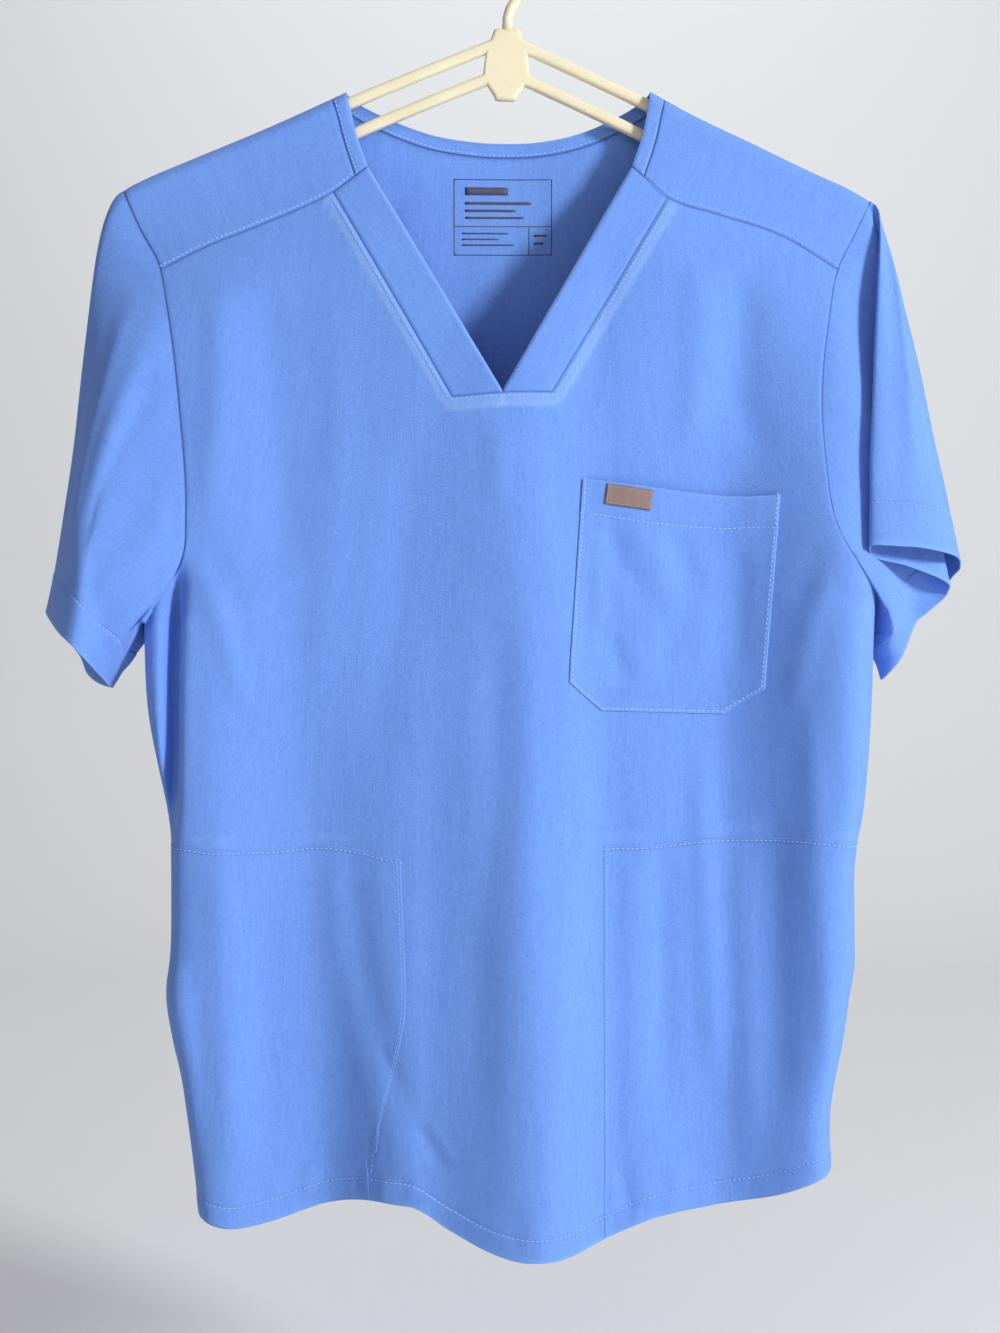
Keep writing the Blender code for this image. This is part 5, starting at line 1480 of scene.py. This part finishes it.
# Each stroke's right, top, left and foot, in millimetres across and down.
PRINT_STROKES = [
    (-33.4, 150.8, 30.8, 151.4), (-33.4, 198.8, 30.8, 199.4), (-33.4, 151.4, -32.8, 198.8), (30.2, 151.4, 30.8, 198.8),
    (-32.8, 180.6, 30.2, 181.1), (15.4, 181.1, 15.9, 198.8),
    (-26, 156, 2, 161), (-26, 165.2, 17, 167), (-26, 170, 7, 171.6), (-26, 174.6, 12, 176),
    (-28, 184.8, 2, 185.8), (-28, 188.5, -4, 189.5), (-28, 192.2, 6, 193.2), (19, 186, 27, 187.4), (19, 191, 25, 192.4),
]


def ink_strip(right, top, left, foot):
    columns, rows = (max(2, int(length / PRINT_STEP) + 1) for length in (left - right, foot - top))
    across, drop = np.meshgrid(np.linspace(right, left, columns), np.linspace(top, foot, rows))
    return surface(across, drop, 1) - (0, PRINT_DEPTH, 0)


ink_mesh = cloth_mesh("neck_print_ink", [ink_strip(*stroke) for stroke in PRINT_STROKES])
neck_print = put_in_scene("neck_print_ink", ink_mesh)
thin = neck_print.modifiers.new("ink", "SOLIDIFY")
thin.thickness, thin.offset = PRINT_WALL * MM, 0
board = Board("ink_finish")
speck = board.noise(board.here(), 1500.0, 2.0)
base = board.mix(speck, colour(0.055, 0.06, 0.105), colour(0.10, 0.10, 0.16))
board.set(Base_Color=base, Roughness=0.6 + speck * 0.15)
neck_print.data.materials.append(board.material)
print("neck print:", len(PRINT_STROKES), "strokes")

# %% [markdown]
# ## Dressing the frame
# Every piece rides on the one body and stands for its solid, which is hidden. The cloth pieces take the cloth's finish
# and the tab takes its own.

# %% Materials and bodies
for name, (made, node) in PIECES.items():
    made.data.materials.append(tab_finish() if name == "pocket_tab_tape" else cloth)
    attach(made, "root")
    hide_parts(node)
    "tab_brown" if name == "pocket_tab_tape" else "scrub_cloth"
    rests = ["hanger_frame"] if name in ("back_panel", "neck_binding_cloth") else []
for made, node in ((hanger, "hanger"), (hook, "hanger_hook")):
    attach(made, "root")
    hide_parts(node)
for made in (stitches, faint_stitches, tab_stitches, neck_print):
    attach(made, "root")

# %% [markdown]
# ## Floor, backdrop and light
# A pale floor curves up into a pale wall. A small key light stands far to the right, in front and above, so the folds'
# right sides are bright. A broad weak fill stands in front and a little to the left, a third lamp lights the wall, and
# the surround is dim and even.

# %% Stage
FLOOR_FRONT, FLOOR_LEVEL, WALL_AT, WALL_TOP, CURVE_RADIUS, STAGE_HALF_WIDTH = -4.0, -1.02, 3.0, 3.4, 0.8, 5.0
bend = [(WALL_AT - CURVE_RADIUS * (1 - math.sin(a)), FLOOR_LEVEL + CURVE_RADIUS * (1 - math.cos(a)))
        for a in np.linspace(0, math.pi / 2, 17)]
profile = [(FLOOR_FRONT, FLOOR_LEVEL), *bend, (WALL_AT, WALL_TOP)]
count = len(profile)
data = bpy.data.meshes.new("floor")
data.from_pydata([(x, y, z) for x in (-STAGE_HALF_WIDTH, STAGE_HALF_WIDTH) for y, z in profile], [],
                 [(i, count + i, count + i + 1, i + 1) for i in range(count - 1)])
data.shade_smooth()
floor = put_in_scene("floor", data)
board = Board("floor_finish")
board.set(Base_Color=colour(0.86, 0.88, 0.88), Roughness=0.9)
floor.data.materials.append(board.material)


def area_light(name, place, aim, size, power, tint=(1, 1, 1)):
    lamp = bpy.data.lights.new(name, "AREA")
    lamp.shape, lamp.size, lamp.energy, lamp.color = "DISK", size, power, tint
    made = put_in_scene(name, lamp)
    made.location = place
    x, y, z = np.array(aim, float) - np.array(place, float)
    made.rotation_euler = (math.atan2(math.hypot(x, y), -z), 0, math.atan2(y, x) - math.pi / 2)


area_light("key", (2.4, -1.95, 0.4), (0, 0, -0.45), 0.6, 98, (0.95, 1, 1))
area_light("fill", (-0.7, -2.7, 0.7), (0, 0, -0.4), 1.4, 9)
area_light("backdrop", (0, 1.2, 2.2), (0, 3.0, -0.4), 2.0, 26)
world = bpy.data.worlds.new("surround")
world.use_nodes = True
world.node_tree.nodes["Background"].inputs["Color"].default_value = (1.0, 0.9, 1.0, 1)
world.node_tree.nodes["Background"].inputs["Strength"].default_value = 0.22
bpy.context.scene.world = world
bpy.context.scene.view_settings.view_transform = "Standard"
print("floor and wall:", len(data.polygons), "strips, 3 lamps")

# %% [markdown]
# ## Last update
# The view layer is brought up to date.

# %% Finish
bpy.context.view_layer.update()
